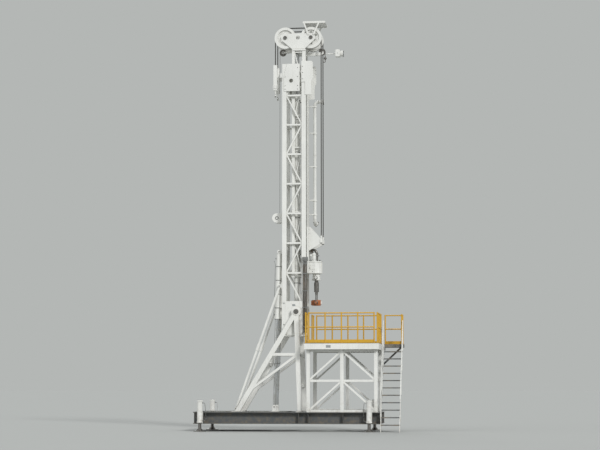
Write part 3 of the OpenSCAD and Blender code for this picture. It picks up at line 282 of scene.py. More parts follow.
def tube(path, radius, sides=10, strands=0, lay=0.18, closed=False, ripple=0.0):
    """A round bar along a path. With strands it is a rope, whose strands turn once in each lay."""
    points, frames = frames_along(path)
    rings = []
    run = 0.0
    for k, (p, (u, v)) in enumerate(zip(points, frames)):
        run += (p - points[max(k - 1, 0)]).length
        ring = []
        for a in angles(sides):
            r = radius * (1 + ripple * (k % 2))
            if strands:
                r *= 0.80 + 0.20 * abs(math.sin(strands * a / 2))
                a += 2 * math.pi * run / lay
            ring.append(p + (u * math.cos(a) + v * math.sin(a)) * r)
        rings.append(ring)
    if closed:
        rings.append(rings[0])
    return loft(rings, caps=not closed)


def along(p, q, step):
    """Points from p to q, about step apart."""
    p, q = Vector(p), Vector(q)
    n = max(1, round((q - p).length / step))
    return [p.lerp(q, i / n) for i in range(n + 1)]


def arc(centre, u, v, radius, turn, count):
    """Points of an arc from u towards v, through that angle."""
    centre, u, v = Vector(centre), Vector(u), Vector(v)
    steps = [turn * i / count for i in range(count + 1)]
    return [centre + (u * math.cos(a) + v * math.sin(a)) * radius for a in steps]


def over_sheaves(x0, x1, y, z, radius, count):
    """A rope's way over two sheaves, from the back of the rear one to the front of the front one."""
    rear = arc((x0, y, z), BACK, UP, radius, math.pi / 2, count)
    front = arc((x1, y, z), UP, AHEAD, radius, math.pi / 2, count)
    return rear + along(rear[-1], front[0], 0.02)[1:-1] + front


def bent(points, reach, count=6):
    """Straight lengths joined by a bend of that reach at each corner."""
    points = [Vector(p) for p in points]
    path = [points[0]]
    for a, p, b in zip(points, points[1:], points[2:]):
        r = min(reach, (p - a).length / 2.1, (b - p).length / 2.1)
        start, end = p + (a - p).normalized() * r, p + (b - p).normalized() * r
        path += [start.lerp(p, i / count).lerp(p.lerp(end, i / count), i / count) for i in range(count + 1)]
    return path + [points[-1]]


def facing(point, direction, spin=0.0):
    """A matrix that stands a shape at a point with its Z along a direction."""
    turn = Vector(direction).to_track_quat("Z", "Y").to_matrix().to_4x4()
    return Matrix.Translation(Vector(point)) @ turn @ Matrix.Rotation(spin, 4, "Z")


def on(place, x, y, z):
    """A place that far from another, in its own directions."""
    return place @ Matrix.Translation((x, y, z))


def rod(shape, a, b, radius, sides=16):
    """A straight bar with flat ends, added to a shape."""
    a, b = Vector(a), Vector(b)
    shape.put(turned([(radius, 0), (radius, (b - a).length)], sides), facing(a, b - a))


def six_sided(levels):
    """A six sided solid about Z through (radius, height) pairs."""
    rings = [[(r * math.cos(a), r * math.sin(a), z) for a in angles(6)] for r, z in levels]
    return loft(rings, smooth=False)


def hexagon(flats, tall):
    """A hexagon nut or fitting, standing on Z = 0."""
    r, c = flats / math.sqrt(3), flats * 0.06
    return six_sided(((r * 0.93, 0), (r, c), (r, tall - c), (r * 0.93, tall)))


def bolt(flats, washer=True):
    """A hexagon bolt head with its washer, standing on Z = 0."""
    shape = Shape()
    foot = flats * 0.09 if washer else 0.0
    if washer:
        shape.put(turned([(flats * 0.60, -MM), (flats * 0.60, foot)], 14))
    r, tall = flats / math.sqrt(3), flats * 0.42
    return shape.put(six_sided(((r, foot - MM), (r, foot + tall * 0.86), (r * 0.86, foot + tall))))


def bolt_ring(shape, head, centre, direction, radius, count, phase=0.0):
    """Bolts round a circle on a face."""
    place = facing(centre, direction)
    for a in angles(count, phase):
        spot = place @ Vector((radius * math.cos(a), radius * math.sin(a), 0))
        shape.put(head, facing(spot, direction, RNG.uniform(0, math.pi / 3)))


def bolt_grid(shape, head, xs, ys, zs, direction):
    """Bolts wherever the given x, y and z meet on a face."""
    for spot in product(xs, ys, zs):
        shape.put(head, facing(spot, direction))


def bolt_links(shape, flats, z):
    """A bolt head outside each elevator link's eye."""
    for s in SIDES:
        shape.put(bolt(flats, False), facing((WELL_X, s * LINK_FACE, z), (0, s, 0)))


def weld_line(shape, a, b, radius):
    """A weld bead from a to b. Beads are rippled, as each pass leaves them."""
    shape.put(tube(along(a, b, 0.014), radius, sides=5, ripple=0.22))


def weld_ring(shape, centre, axis, wide, tall, radius):
    """A weld bead round a bar of that width and height, across an axis."""
    u, v = {"x": (FAR, UP), "y": (AHEAD, UP), "z": (AHEAD, FAR)}[axis]
    corners = [Vector(centre) + Vector(u) * (a * wide / 2) + Vector(v) * (b * tall / 2)
               for a, b in ((-1, -1), (1, -1), (1, 1), (-1, 1))]
    path = []
    for a, b in zip(corners, corners[1:] + corners[:1]):
        path += along(a, b, 0.014)[:-1]
    shape.put(tube(path, radius, sides=5, closed=True, ripple=0.22))


def treads():
    """The low and high corner of each stair tread's top, from the treads' separate solids."""
    low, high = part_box("stair_treads")
    points = [v.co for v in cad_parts["stair_treads"].data.vertices]
    tops = sorted({round(p.z, 4) for p in points})[1::2]
    spans = [(top, [p.y for p in points if abs(p.z - top) < MM]) for top in tops]
    return [(Vector((low.x, min(ys), 0)), Vector((high.x, max(ys), top))) for top, ys in spans]


# Materials

def add(tree, kind, inputs=None, out=0, **settings):
    """Adds a node, fills its inputs with values or links, and gives the output asked for."""
    node = tree.nodes.new("ShaderNode" + kind)
    for name, value in settings.items():
        setattr(node, name, value)
    for name, value in (inputs or {}).items():
        if isinstance(value, bpy.types.NodeSocket):
            tree.links.new(value, node.inputs[name])
        else:
            node.inputs[name].default_value = value
    return node if out is None else node.outputs[out]


def blank(name):
    """A material without a surface yet, and where each point lies in metres."""
    material = bpy.data.materials.new(name)
    material.use_nodes = True
    material.node_tree.nodes.clear()
    return material, add(material.node_tree, "TexCoord", out="Object")


def surfaced(material, inputs):
    """The material with its shader, filled with those inputs."""
    tree = material.node_tree
    add(tree, "OutputMaterial", {"Surface": add(tree, "BsdfPrincipled", inputs)}, None)
    return material


def patches(place, across, low=0.0, high=1.0, bottom=0.0, top=1.0, detail=4.0, stretch=(1, 1, 1),
            within=1.0):
    """Patches that many millimetres across, bottom to top as the noise goes low to high, inside a mask."""
    tree = place.id_data
    at = add(tree, "Mapping", {"Vector": place, "Scale": stretch})
    cloud = add(tree, "TexNoise", {"Vector": at, "Scale": 1 / (across * MM), "Detail": detail,
                                   "Roughness": 0.55})
    level = add(tree, "MapRange", {"Value": cloud, "From Min": low, "From Max": high,
                                   "To Min": bottom, "To Max": top})
    return add(tree, "Math", {0: level, 1: within}, operation="MULTIPLY")


def coat(under, over, where, thin=1.0, thick=1.0):
    """One colour over another where a mask lies, thin at the mask's edges and thick at its middle."""
    tree = where.id_data
    depth = add(tree, "MapRange", {"Value": where, "To Min": thin, "To Max": thick})
    factor = add(tree, "Math", {0: where, 1: depth}, operation="MULTIPLY")
    return add(tree, "Mix", {0: factor, 6: under, 7: over}, 2, data_type="RGBA")


def uneven(place, across, strength, height, detail=3.0, before=None):
    """A surface raised in patches that many millimetres across and high, over what was there before."""
    inputs = {"Height": patches(place, across, detail=detail), "Strength": strength, "Distance": height * MM}
    if before:
        inputs["Normal"] = before
    return add(place.id_data, "Bump", inputs)


def reach(place, centre, across):
    """How far each point lies from an axis through the centre, across which the given directions count."""
    from_axis = add(place.id_data, "Mapping", {"Vector": place, "Location": tuple(-c for c in centre),
                                               "Scale": across})
    return add(place.id_data, "VectorMath", {0: from_axis}, "Value", operation="LENGTH")


def rope_grooves(place, x_axis):
    """The mask of a sheave's grooves, inside its rim and between its flanges."""
    tree = place.id_data
    radius = reach(place, (x_axis, 0, SHAFT_Z), (1, 0, 1))
    y = add(tree, "SeparateXYZ", {"Vector": place}, "Y")
    side = add(tree, "Math", {0: y}, operation="ABSOLUTE")
    off_middle = add(tree, "Math", {0: side, 1: SHEAVE_Y}, operation="SUBTRACT")
    across = add(tree, "Math", {0: off_middle}, operation="ABSOLUTE")
    mask = 1.0
    for value, start, end in ((radius, GROOVE_FOOT - MM, GROOVE_FOOT),
                              (radius, SHEAVE_R - 4 * MM, SHEAVE_R - 14 * MM),
                              (across, GROOVES_HALF, GROOVES_HALF - 2 * MM)):
        step = add(tree, "MapRange", {"Value": value, "From Min": start, "From Max": end})
        mask = add(tree, "Math", {0: step, 1: mask}, operation="MULTIPLY")
    return mask


def weathered_paint(name, colour, dirt_and_shade, rust, wear, gloss=0.42, sheave_x=None):
    """Enamel on steel: faded in patches, streaked by rain, darkened in its corners by painted shade mixed
    with grime, chipped to rust.
    """
    material, place = blank(name)
    tree, dirt_and_shade, rust = material.node_tree, linear(dirt_and_shade), linear(rust)
    faded = tuple(c * 0.90 for c in colour[:3]) + (1.0,)
    shade = coat(colour, faded, patches(place, 770, 0.35, 0.75, detail=3))
    # Rain runs down a mast in streaks about 30 mm wide and a metre long
    wet = patches(place, 900, 0.38, 0.66, 0.15, detail=2)
    streaks = patches(place, 33, 0.50, 0.78, detail=3, stretch=(1, 1, 0.03), within=wet)
    shade = coat(shade, dirt_and_shade, streaks, 0.30 * wear, 0.62 * wear)
    # Corners within 100 mm of the next face are darkened in the dirt colour through an occlusion mask:
    # painted shade, broken into patches like grime
    corner = add(tree, "AmbientOcclusion", {"Distance": 0.10}, "AO", samples=4)
    deep = add(tree, "MapRange", {"Value": corner, "From Min": 0.75, "From Max": 0.25})
    grime_and_painted_shade = patches(place, 70, 0.3, 0.7, 0.35, detail=3, within=deep)
    shade = coat(shade, dirt_and_shade, grime_and_painted_shade, 0.45 * wear, 0.75 * wear)
    # Rain throws mud about a metre up
    height = add(tree, "SeparateXYZ", {"Vector": place}, "Z")
    near_ground = add(tree, "MapRange", {"Value": height, "From Min": 1.3, "From Max": 0.25})
    splash = patches(place, 110, 0.40, 0.68, detail=5, within=near_ground)
    shade = coat(shade, linear("#85765F"), splash, 0.35, 0.6)
    # Chips of 3 to 10 mm where tongs and chains knock it, each in a stain
    knocked = patches(place, 450, 0.50, 0.62, detail=2)
    chips = patches(place, 10.5, 0.70, 0.73, detail=2, within=knocked)
    stained = patches(place, 10.5, 0.63, 0.73, 0.0, 0.45, 2, within=knocked)
    shade = coat(shade, coat(dirt_and_shade, rust, patches(place, 125, 0.3, 0.7)), stained)
    shade = coat(shade, rust, chips)
    metal = 0.0
    if sheave_x is not None:
        # Ropes burnish the grooves, and their grease stays there
        metal = rope_grooves(place, sheave_x)
        greased = coat(linear("#8F8D89"), linear("#4A4640"), patches(place, 33, 0.35, 0.65, detail=3))
        shade = coat(shade, greased, metal)
    # Plates and tubes ripple a little between their welds, and brushed coats leave a fine skin
    waves = uneven(place, 200, 0.25, 4, 2)
    return surfaced(material, {
        "Base Color": shade, "Metallic": metal, "IOR": 1.5,
        "Roughness": patches(place, 140, 0.25, 0.75, gloss - 0.08, gloss + 0.16, 5),
        "Normal": uneven(place, 6, 0.10, 1, before=waves)})


def chosen(colour):
    """A colour set in the panel."""
    return tuple(getattr(bpy.context.scene.rig_finish, colour))


def front_sheaves(name="enamel_on_front_sheaves", x_axis=FRONT_X):
    """Alkyd enamel on cast sheaves, with grooves that the ropes keep bright."""
    return weathered_paint(name, chosen("mast_white"), "#8B8478", "#6E4630", 0.8, sheave_x=x_axis)


def rear_sheaves():
    """The same enamel, with bright grooves round the rear axle."""
    return front_sheaves("enamel_on_rear_sheaves", REAR_X)


def white_enamel():
    """Alkyd enamel, sprayed over primer: a soft white with grey rain streaks, as on a working mast."""
    return weathered_paint("white_alkyd_enamel_sprayed", chosen("mast_white"), "#8B8478", "#6E4630", 0.55)


def grey_enamel():
    """Alkyd enamel, brushed on rolled beams: a dark grey that lets the white structure stand out."""
    return weathered_paint("grey_alkyd_enamel_brushed", chosen("skid_grey"), "#7D7668", "#6A4029", 1.0, 0.50)


def yellow_enamel():
    """Alkyd enamel, brushed on tubes: safety yellow rubbed dull where hands hold it."""
    return weathered_paint("yellow_alkyd_enamel_brushed", chosen("rail_yellow"), "#6F6348", "#6A4029", 0.6,
                           0.40)


def orange_casting():
    """Cast alloy steel, painted orange and rusted by mud: the elevator's worn brown orange."""
    return weathered_paint("cast_steel_orange_paint_worn", linear("#B3693A"), "#4E3B2C", "#5B3A26", 1.3,
                           0.55)


def weld_metal():
    """Weld metal under the mast's enamel: a little greyer than the plates where rust creeps in."""
    return weathered_paint("weld_beads_under_enamel", linear("#D2D0C8"), "#7F766A", "#6E4630", 0.9, 0.5)


def plate_paint():
    """Alkyd enamel on hot rolled chequer plate: grey, with mud lying between the lozenges."""
    material, place = blank("grey_enamel_on_chequer_plate")
    tree = material.node_tree
    mud = patches(place, 285, 0.42, 0.68, detail=5)
    # Oil and drilling mud lie round the well, thickest within half a metre
    around = add(tree, "MapRange", {"Value": reach(place, (WELL_X, 0, 0), (1, 1, 0)),
                                    "From Min": 0.75, "From Max": 0.25})
    oil = patches(place, 165, 0.30, 0.60, detail=5, within=around)
    shade = coat(linear("#5A5D5E"), linear("#707270"), patches(place, 830, 0.45, 0.70, detail=3))
    shade = coat(coat(shade, linear("#8A7C67"), mud, 0.4, 0.75), linear("#38332C"), oil)
    # Dried mud is matt and oil lies glossy over it
    matt = add(tree, "MapRange", {"Value": mud, "To Min": 0.48, "To Max": 0.85})
    glossy = add(tree, "MapRange", {"Value": oil, "To Min": 1.0, "To Max": 0.5})
    return surfaced(material, {
        "Base Color": shade, "Roughness": add(tree, "Math", {0: matt, 1: glossy}, operation="MULTIPLY"),
        "Normal": uneven(place, 17, 0.35, 2, 5)})


def bare_metal(name, light, dark, rough, mottle):
    """Bare metal, mottled in patches that many millimetres across and finely rough."""
    material, place = blank(name)
    return surfaced(material, {
        "Base Color": coat(linear(light), linear(dark), patches(place, mottle, 0.3, 0.72)),
        "Roughness": patches(place, mottle * 1.4, 0.25, 0.75, rough - 0.08, rough + 0.16),
        "Normal": uneven(place, mottle / 6, 0.18, 0.8), "Metallic": 1.0})


def worn_lozenges():
    """Hot rolled steel, walked bare: the lozenges' tops shine where boots keep them clean."""
    return bare_metal("hot_rolled_steel_worn_bright", "#8E8F8D", "#5F5F5C", 0.36, 25)


def hard_chrome():
    """Hard chrome, ground and polished on a cylinder's rod: a clean bright band."""
    material, place = blank("hard_chrome_ground")
    film = patches(place, 110, 0.4, 0.75, detail=3, stretch=(1, 1, 0.2))
    return surfaced(material, {
        "Base Color": coat(linear("#D5D7D9"), linear("#B4B2AB"), film), "Metallic": 1.0,
        "Roughness": add(material.node_tree, "MapRange", {"Value": film, "To Min": 0.14, "To Max": 0.30})})


def machined_steel():
    """Carbon steel, turned and oiled: mid grey with a soft gloss."""
    return bare_metal("carbon_steel_turned_oiled", "#8D8B88", "#66625D", 0.38, 40)


def zinc_steel():
    """Steel fasteners, zinc plated: a pale cool grey that picks out the joints."""
    return bare_metal("fasteners_zinc_plated", "#A9ABAB", "#83827D", 0.42, 17)


def rope_steel():
    """Wire rope, laid and greased: dark grey with bright crowns on the strands."""
    return bare_metal("wire_rope_greased", "#5C5A56", "#35332F", 0.46, 8)


def reflector():
    """Aluminium, spun and anodised: the lamp's bright bowl and the data plates."""
    return bare_metal("aluminium_spun_anodised", "#E1E3E4", "#C3C6C8", 0.18, 83)


def hose_rubber():
    """Nitrile rubber, extruded and cloth wrapped: brown grey with dust on it."""
    material, place = blank("nitrile_rubber_wrapped")
    tree = material.node_tree
    dust = patches(place, 83, 0.4, 0.7, stretch=(1, 1, 0.3))
    # The wrap's cloth leaves a mark each 4 mm, drawn each 8 mm so that it shows. A wave of scale 1 is
    # pi / 10 m long
    scale = math.pi / 10 / (8 * MM)
    cloth = add(tree, "TexWave", {"Vector": place, "Scale": scale}, "Fac", bands_direction="Z")
    return surfaced(material, {
        "Base Color": coat(linear("#3A342E"), linear("#6B5F50"), dust),
        "Roughness": add(tree, "MapRange", {"Value": dust, "To Min": 0.55, "To Max": 0.85}),
        "Normal": add(tree, "Bump", {"Height": cloth, "Strength": 0.3, "Distance": MM})})


def nylon():
    """Cast nylon, machined: the dark wear pads between the masts."""
    material, place = blank("cast_nylon_machined")
    return surfaced(material, {
        "Base Color": coat(linear("#2C2B29"), linear("#46433D"), patches(place, 50)),
        "Roughness": 0.55, "Normal": uneven(place, 5, 0.15, 0.5)})


def lamp_glass():
    """Toughened glass, moulded: clear with a cool sheen over the reflector."""
    material, place = blank("toughened_glass_moulded")
    return surfaced(material, {
        "Base Color": linear("#E9EEF0"), "Roughness": 0.08, "Transmission Weight": 0.85, "IOR": 1.5,
        "Normal": uneven(place, 14, 0.12, 1, 2)})


# The materials made so far, by their maker
FINISHES = {}


def finish_of(maker):
    """The material that a maker gives, made once."""
    if maker not in FINISHES:
        FINISHES[maker] = maker()
    return FINISHES[maker]


# Which finish each node of the rig takes, apart from white enamel
NODE_FINISH = {
    grey_enamel: ["skid_runners", "skid_cross_beams"],
    plate_paint: ["rear_deck", "floor_plate", "stair_treads", "stair_landing"],
    yellow_enamel: ["floor_handrails"],
    hard_chrome: ["raising_rods", "hoist_rods"],
    machined_steel: ["jack_feet", "pivot_pins", "sheave_shafts", "jib_sheaves", "swivel", "elevator_links",
                     "quill", "slip_bowl", "tugger_hook"],
    orange_casting: ["elevator"],
    hose_rubber: ["hydraulic_lines"],
    front_sheaves: ["sheave_front_near", "sheave_front_far"],
    rear_sheaves: ["sheave_rear_near", "sheave_rear_far"],
}
# Nodes of rolled, cast or cut steel, whose edges are eased
EASED = ("mast_side_near", "mast_side_far", "mast_rear_bracing", "mast_foot", "mast_head", "inner_side_near",
         "inner_side_far", "inner_ties", "a_frame_near", "a_frame_far", "a_frame_ties", "floor_legs_near",
         "floor_legs_far", "floor_frame", "skid_runners", "skid_cross_beams", "rope_anchors", "crown_frame",
         "crown_hood", "carriage_frame", "gearbox", "floodlight", "elevator", "pipe_handler", "clevises",
         "tugger_winch", "stair_stringers", "stair_treads", "jack_barrels")


class RigSizes(bpy.types.PropertyGroup):
    """Sizes of what dresses the rig"""

    bolt_flats: FloatProperty(name="Bolt size", description="Across the flats of the frame's bolts",
                              default=0.036, unit="LENGTH")
    small_flats: FloatProperty(name="Small bolt size", description="Across the flats of the cover bolts",
                               default=0.024, unit="LENGTH")
    weld_leg: FloatProperty(name="Weld size", description="Radius of the weld beads",
                            default=0.006, unit="LENGTH")
    chequer_pitch: FloatProperty(name="Chequer pitch", description="Spacing of the plate's lozenges",
                                 default=0.042, unit="LENGTH")
    strands: IntProperty(name="Strands", description="Strands in a hoist rope", default=6)
    rope_lay: FloatProperty(name="Rope lay", description="Length in which a strand goes once round",
                            default=0.18, unit="LENGTH")


class RigFinish(bpy.types.PropertyGroup):
    """Colours of the rig's paint and of the stage"""

    mast_white: FloatVectorProperty(name="Mast white", description="Enamel of the mast and frames",
                                    subtype="COLOR", size=4, default=linear("#E6E6E1"))
    skid_grey: FloatVectorProperty(name="Skid grey", description="Enamel of the skid's beams",
                                   subtype="COLOR", size=4, default=linear("#55595B"))
    rail_yellow: FloatVectorProperty(name="Rail yellow", description="Enamel of the handrails",
                                     subtype="COLOR", size=4, default=linear("#D2A32C"))
    floor_tone: FloatVectorProperty(name="Floor tone", description="Colour of the stage's floor",
                                    subtype="COLOR", size=4, default=linear("#B1B3B0"))


class RIG_OT_stage(bpy.types.Operator):
    """Lays the floor, hangs the lamps and sets the camera"""

    bl_idname = "rig.stage"
    bl_label = "Stage"

    distance: FloatProperty(name="Distance", description="From the mast to the camera", default=57.0,
                            unit="LENGTH")
    eye: FloatProperty(name="Eye height", description="Height of the camera", default=1.6, unit="LENGTH")
    azimuth: FloatProperty(name="Azimuth", description="Turn of the camera from square on",
                           default=math.radians(7), subtype="ANGLE")
    lens: FloatProperty(name="Lens", description="Focal length in millimetres", default=98.0, unit="CAMERA")

    def execute(self, context):
        scene = context.scene
        radius, corners = 400, 64
        disc = Shape([(radius * math.cos(a), radius * math.sin(a), 0) for a in angles(corners)],
                     [tuple(range(corners))])
        matt = surfaced(blank("stage_floor_matt")[0], {"Base Color": chosen("floor_tone"), "Roughness": 1.0,
                                                       "Specular IOR Level": 0.0})
        linked("stage_floor", disc.mesh("stage_floor", matt))

        scene.world = bpy.data.worlds.new("stage_sky")
        scene.world.use_nodes = True
        tree = scene.world.node_tree
        tree.nodes.clear()
        # The backdrop shows as the floor does, also in metal and glass, and lights the rig as a pale studio
        shows = add(tree, "LightPath", out="Is Camera Ray")
        for ray in ("Is Glossy Ray", "Is Transmission Ray"):
            shows = add(tree, "Math", {0: shows, 1: add(tree, "LightPath", out=ray)}, operation="MAXIMUM")
        glow = add(tree, "Background", {"Color": linear("#F4F7FA"), "Strength": 0.56})
        seen = add(tree, "Background", {"Color": linear("#B4B7B5"), "Strength": 1.0})
        add(tree, "OutputWorld", {"Surface": add(tree, "MixShader", {0: shows, 1: glow, 2: seen})}, None)

        for name, energy, angle, tilt, turn in (("key", 1.92, 12, 60, 35), ("fill", 0.60, 60, 62, -60),
                                                ("back", 0.85, 40, 58, -165)):
            data = bpy.data.lights.new("stage_" + name, "SUN")
            data.energy, data.angle = energy, math.radians(angle)
            linked("stage_" + name, data).rotation_euler = (math.radians(tilt), 0, math.radians(turn))

        data = bpy.data.cameras.new("stage_camera")
        data.lens, data.clip_end = self.lens, 1000
        scene.camera = linked("stage_camera", data)
        scene.camera.location = (self.distance * math.sin(self.azimuth),
                                 -self.distance * math.cos(self.azimuth), self.eye)
        low, high = CAD_BOX
        aim = Vector(((low.x + high.x) / 2, 0, (low.z + high.z) / 2))
        scene.camera.rotation_euler = (aim - scene.camera.location).to_track_quat("-Z", "Y").to_euler()
        scene.view_settings.view_transform = "Standard"
        return {"FINISHED"}


class RIG_OT_paint(bpy.types.Operator):
    """Gives each node of the rig its real finish and eases the edges of its rolled sections"""

    bl_idname = "rig.paint"
    bl_label = "Paint the steelwork"

    edge: FloatProperty(name="Edge", description="Width of the eased edges", default=0.003, unit="LENGTH")

    def execute(self, context):
        makers = {node: maker for maker, nodes in NODE_FINISH.items() for node in nodes}
        for node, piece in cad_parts.items():
            piece.data.materials.clear()
            piece.data.materials.append(finish_of(makers.get(node, white_enamel)))
        for node in EASED:
            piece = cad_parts[node]
            piece.modifiers.new("Join", "WELD").merge_threshold = 0.1 * MM
            edge = piece.modifiers.new("Ease", "BEVEL")
            edge.width, edge.segments = self.edge, 2
            edge.limit_method, edge.angle_limit = "ANGLE", math.radians(50)
            edge.harden_normals = True
        return {"FINISHED"}


class RIG_OT_ropes(bpy.types.Operator):
    """Lays the wire ropes, from their anchors over the crown to the carriage"""

    bl_idname = "rig.ropes"
    bl_label = "Wire ropes"

    def execute(self, context):
        sizes = context.scene.rig_sizes
        rear_foot, front_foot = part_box("rear_hoist_ropes")[0].z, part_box("front_hoist_ropes")[0].z
        rear_x, front_x = REAR_X - ROPE_LINE, FRONT_X + ROPE_LINE
        rear, front, over = Shape(), Shape(), Shape()
        for y in ROPE_YS:
            for shape, path in ((rear, along((rear_x, y, rear_foot), (rear_x, y, SHAFT_Z), 0.018)),
                                (front, along((front_x, y, front_foot), (front_x, y, SHAFT_Z), 0.018)),
                                (over, over_sheaves(REAR_X, FRONT_X, y, SHAFT_Z, ROPE_LINE, 28))):
                shape.put(tube(path, ROPE_R, 18, sizes.strands, sizes.rope_lay))
        over.put(self.line(self.jib_path()))
        low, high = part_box("tugger_line")
        x, y = (low.x + high.x) / 2, (low.y + high.y) / 2
        line = self.line(along((x, y, low.z), (x, y, high.z), 0.02))
        self.stretched(rear, "rear_ropes_laid", "root", "inner_mast",
                       (rear_x, 0, rear_foot), (rear_x, 0, SHAFT_Z), "rear_hoist_ropes")
        self.stretched(front, "front_ropes_laid", "inner_mast", "carriage",
                       (front_x, 0, SHAFT_Z), (front_x, 0, front_foot), "front_hoist_ropes")
        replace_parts(over.piece("crown_ropes_laid", rope_steel, "inner_mast", "wire_rope"), "crown_ropes")
        self.stretched(line, "tugger_line_laid", "root", "inner_mast", (x, y, low.z), (x, y, high.z),
                       "tugger_line")
        return {"FINISHED"}

    def stretched(self, shape, name, body, next_body, start, end, node):
        """A rope laid in place of its node, fixed where it lies and riding on no body."""
        piece = shape.piece(name, rope_steel, None, "wire_rope")
        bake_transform(piece)
        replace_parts(piece, node)

    def line(self, path):
        """The tugger line along a path."""
        return tube(path, LINE_R, 12, LINE_STRANDS, LINE_LAY)

    def jib_path(self):
        """The tugger line's way over the two small sheaves of the jib, down to its hook."""
        low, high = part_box("jib_sheaves")
        rim, radius = 0.122, 0.110
        front_x = high.x - rim
        path = over_sheaves(low.x + rim, front_x, 0, (low.z + high.z) / 2, radius, 14)
        return path + along(path[-1], (front_x + radius, 0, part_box("tugger_hook")[1].z), 0.02)[1:]


class RIG_OT_welds(bpy.types.Operator):
    """Runs weld beads round the ends of bars and along the edges of plates"""

    bl_idname = "rig.welds"
    bl_label = "Weld beads"

    def execute(self, context):
        leg = context.scene.rig_sizes.weld_leg
        outer, inner, head = Shape(), Shape(), Shape()
        self.lacing(outer, MAST_LOW, MAST_HIGH, LEG_W, LACE_W, BAYS, leg)
        rail = Vector((RAIL_T, 0, 0))
        self.lacing(inner, INNER_LOW, INNER_HIGH - rail, INNER_W, INNER_LACE, INNER_BAYS, leg, first=1)
        self.ties(outer, MAST_LOW, MAST_HIGH, LEG_W, LEG_W, LACE_W, BAYS, leg)
        self.frames(outer, leg)
        for s, (x0, z0, x1, z1) in product(SIDES, PLATE_EDGES):
            weld_line(outer, (x0, s * MAST_FACE, z0), (x1, s * MAST_FACE, z1), leg)
        self.ties(inner, INNER_LOW, INNER_HIGH, INNER_LACE, INNER_W, INNER_LACE, INNER_BAYS, leg)
        for s, y in product(SIDES, CHEEK_FACES):
            weld_line(inner, (CHEEK_XS[0], s * y, BASE_TOP), (CHEEK_XS[1], s * y, BASE_TOP), leg)
        self.carriage(head, leg)
        for shape, name, body in ((head, "carriage_welds", "carriage"), (outer, "mast_welds", "root"),
                                  (inner, "inner_mast_welds", "inner_mast")):
            shape.piece(name, weld_metal, body, "white_paint")
        return {"FINISHED"}

    def lacing(self, shape, low, high, leg_w, lace, bays, leg, first=0):
        """Beads at the lacing of one mast's near and far sides, whose first brace rises ahead or back."""
        y = low.y + leg_w / 2
        x0, x1 = low.x + leg_w, high.x - leg_w
        step = (high.z - low.z - leg_w) / bays
        slope = step / (x1 - x0)
        # A brace is 0.8 as wide as a bar and starts 10 mm inside the leg: its upper edge leaves the leg here
        top = lace * 0.4 * math.sqrt(1 + slope * slope) + 0.010 * slope
        middle, tall = (top + lace / 2) / 2, top - lace / 2
        for s, i in product(SIDES, range(bays + 1)):
            z = low.z + leg_w / 2 + step * i
            for x in (x0, x1):
                weld_ring(shape, (x, s * y, z), "x", lace, lace, leg)
            if i < bays:
                foot, head = (x0, x1) if i % 2 == first else (x1, x0)
                weld_ring(shape, (foot, s * y, z + middle), "x", lace, tall, leg)
                weld_ring(shape, (head, s * y, z + step - middle), "x", lace, tall, leg)

    def ties(self, shape, low, high, deep, leg_w, lace, bays, leg):
        """Beads where the ties across one mast's rear meet the insides of its legs."""
        step = (high.z - low.z - leg_w) / bays
        for i, s in product(range(bays + 1), SIDES):
            at = (low.x + deep / 2, s * (abs(low.y) - leg_w), low.z + leg_w / 2 + step * i)
            weld_ring(shape, at, "y", lace, lace, leg)

    def frames(self, shape, leg):
        """Beads at the A-frames' feet and ties, and at the floor's posts and bars."""
        for s in SIDES:
            for x, wide in FRAME_FEET:
                weld_ring(shape, (x, s * (FRAME_Y + FRAME_T / 2), RUNNER.z + FOOT_PLATE), "z", wide, FRAME_T,
                          leg * 1.3)
            for x in POST_XS:
                for z in (RUNNER.z, FLOOR_UNDER):
                    weld_ring(shape, (x, s * POST_Y, z), "z", POST_W, POST_W, leg)
                for z, side in product(BAR_ZS, SIDES):
                    face = x + side * POST_W / 2
                    if POST_XS[0] < face < POST_XS[-1]:
                        weld_ring(shape, (face, s * POST_Y, z), "x", BAR_W, BAR_W, leg)
            for x, z in TIES:
                weld_ring(shape, (x, s * FRAME_Y, z), "y", TIE_W, TIE_W, leg)

    def carriage(self, shape, leg):
        """Beads of the carriage's arms and of the gearbox's seat."""
        arm_faces, arm_zs, inset = (0.280, 0.320), (6.24, 7.05), 0.01
        for s in SIDES:
            for y in arm_faces:
                weld_line(shape, (CARRIAGE_FACE, s * y, arm_zs[0]), (CARRIAGE_FACE, s * y, arm_zs[1]), leg)
            weld_line(shape, (CARRIAGE_FACE, s * BOX_HIGH.y, BOX_LOW.z + inset),
                      (CARRIAGE_FACE, s * BOX_HIGH.y, BOX_HIGH.z - inset), leg)


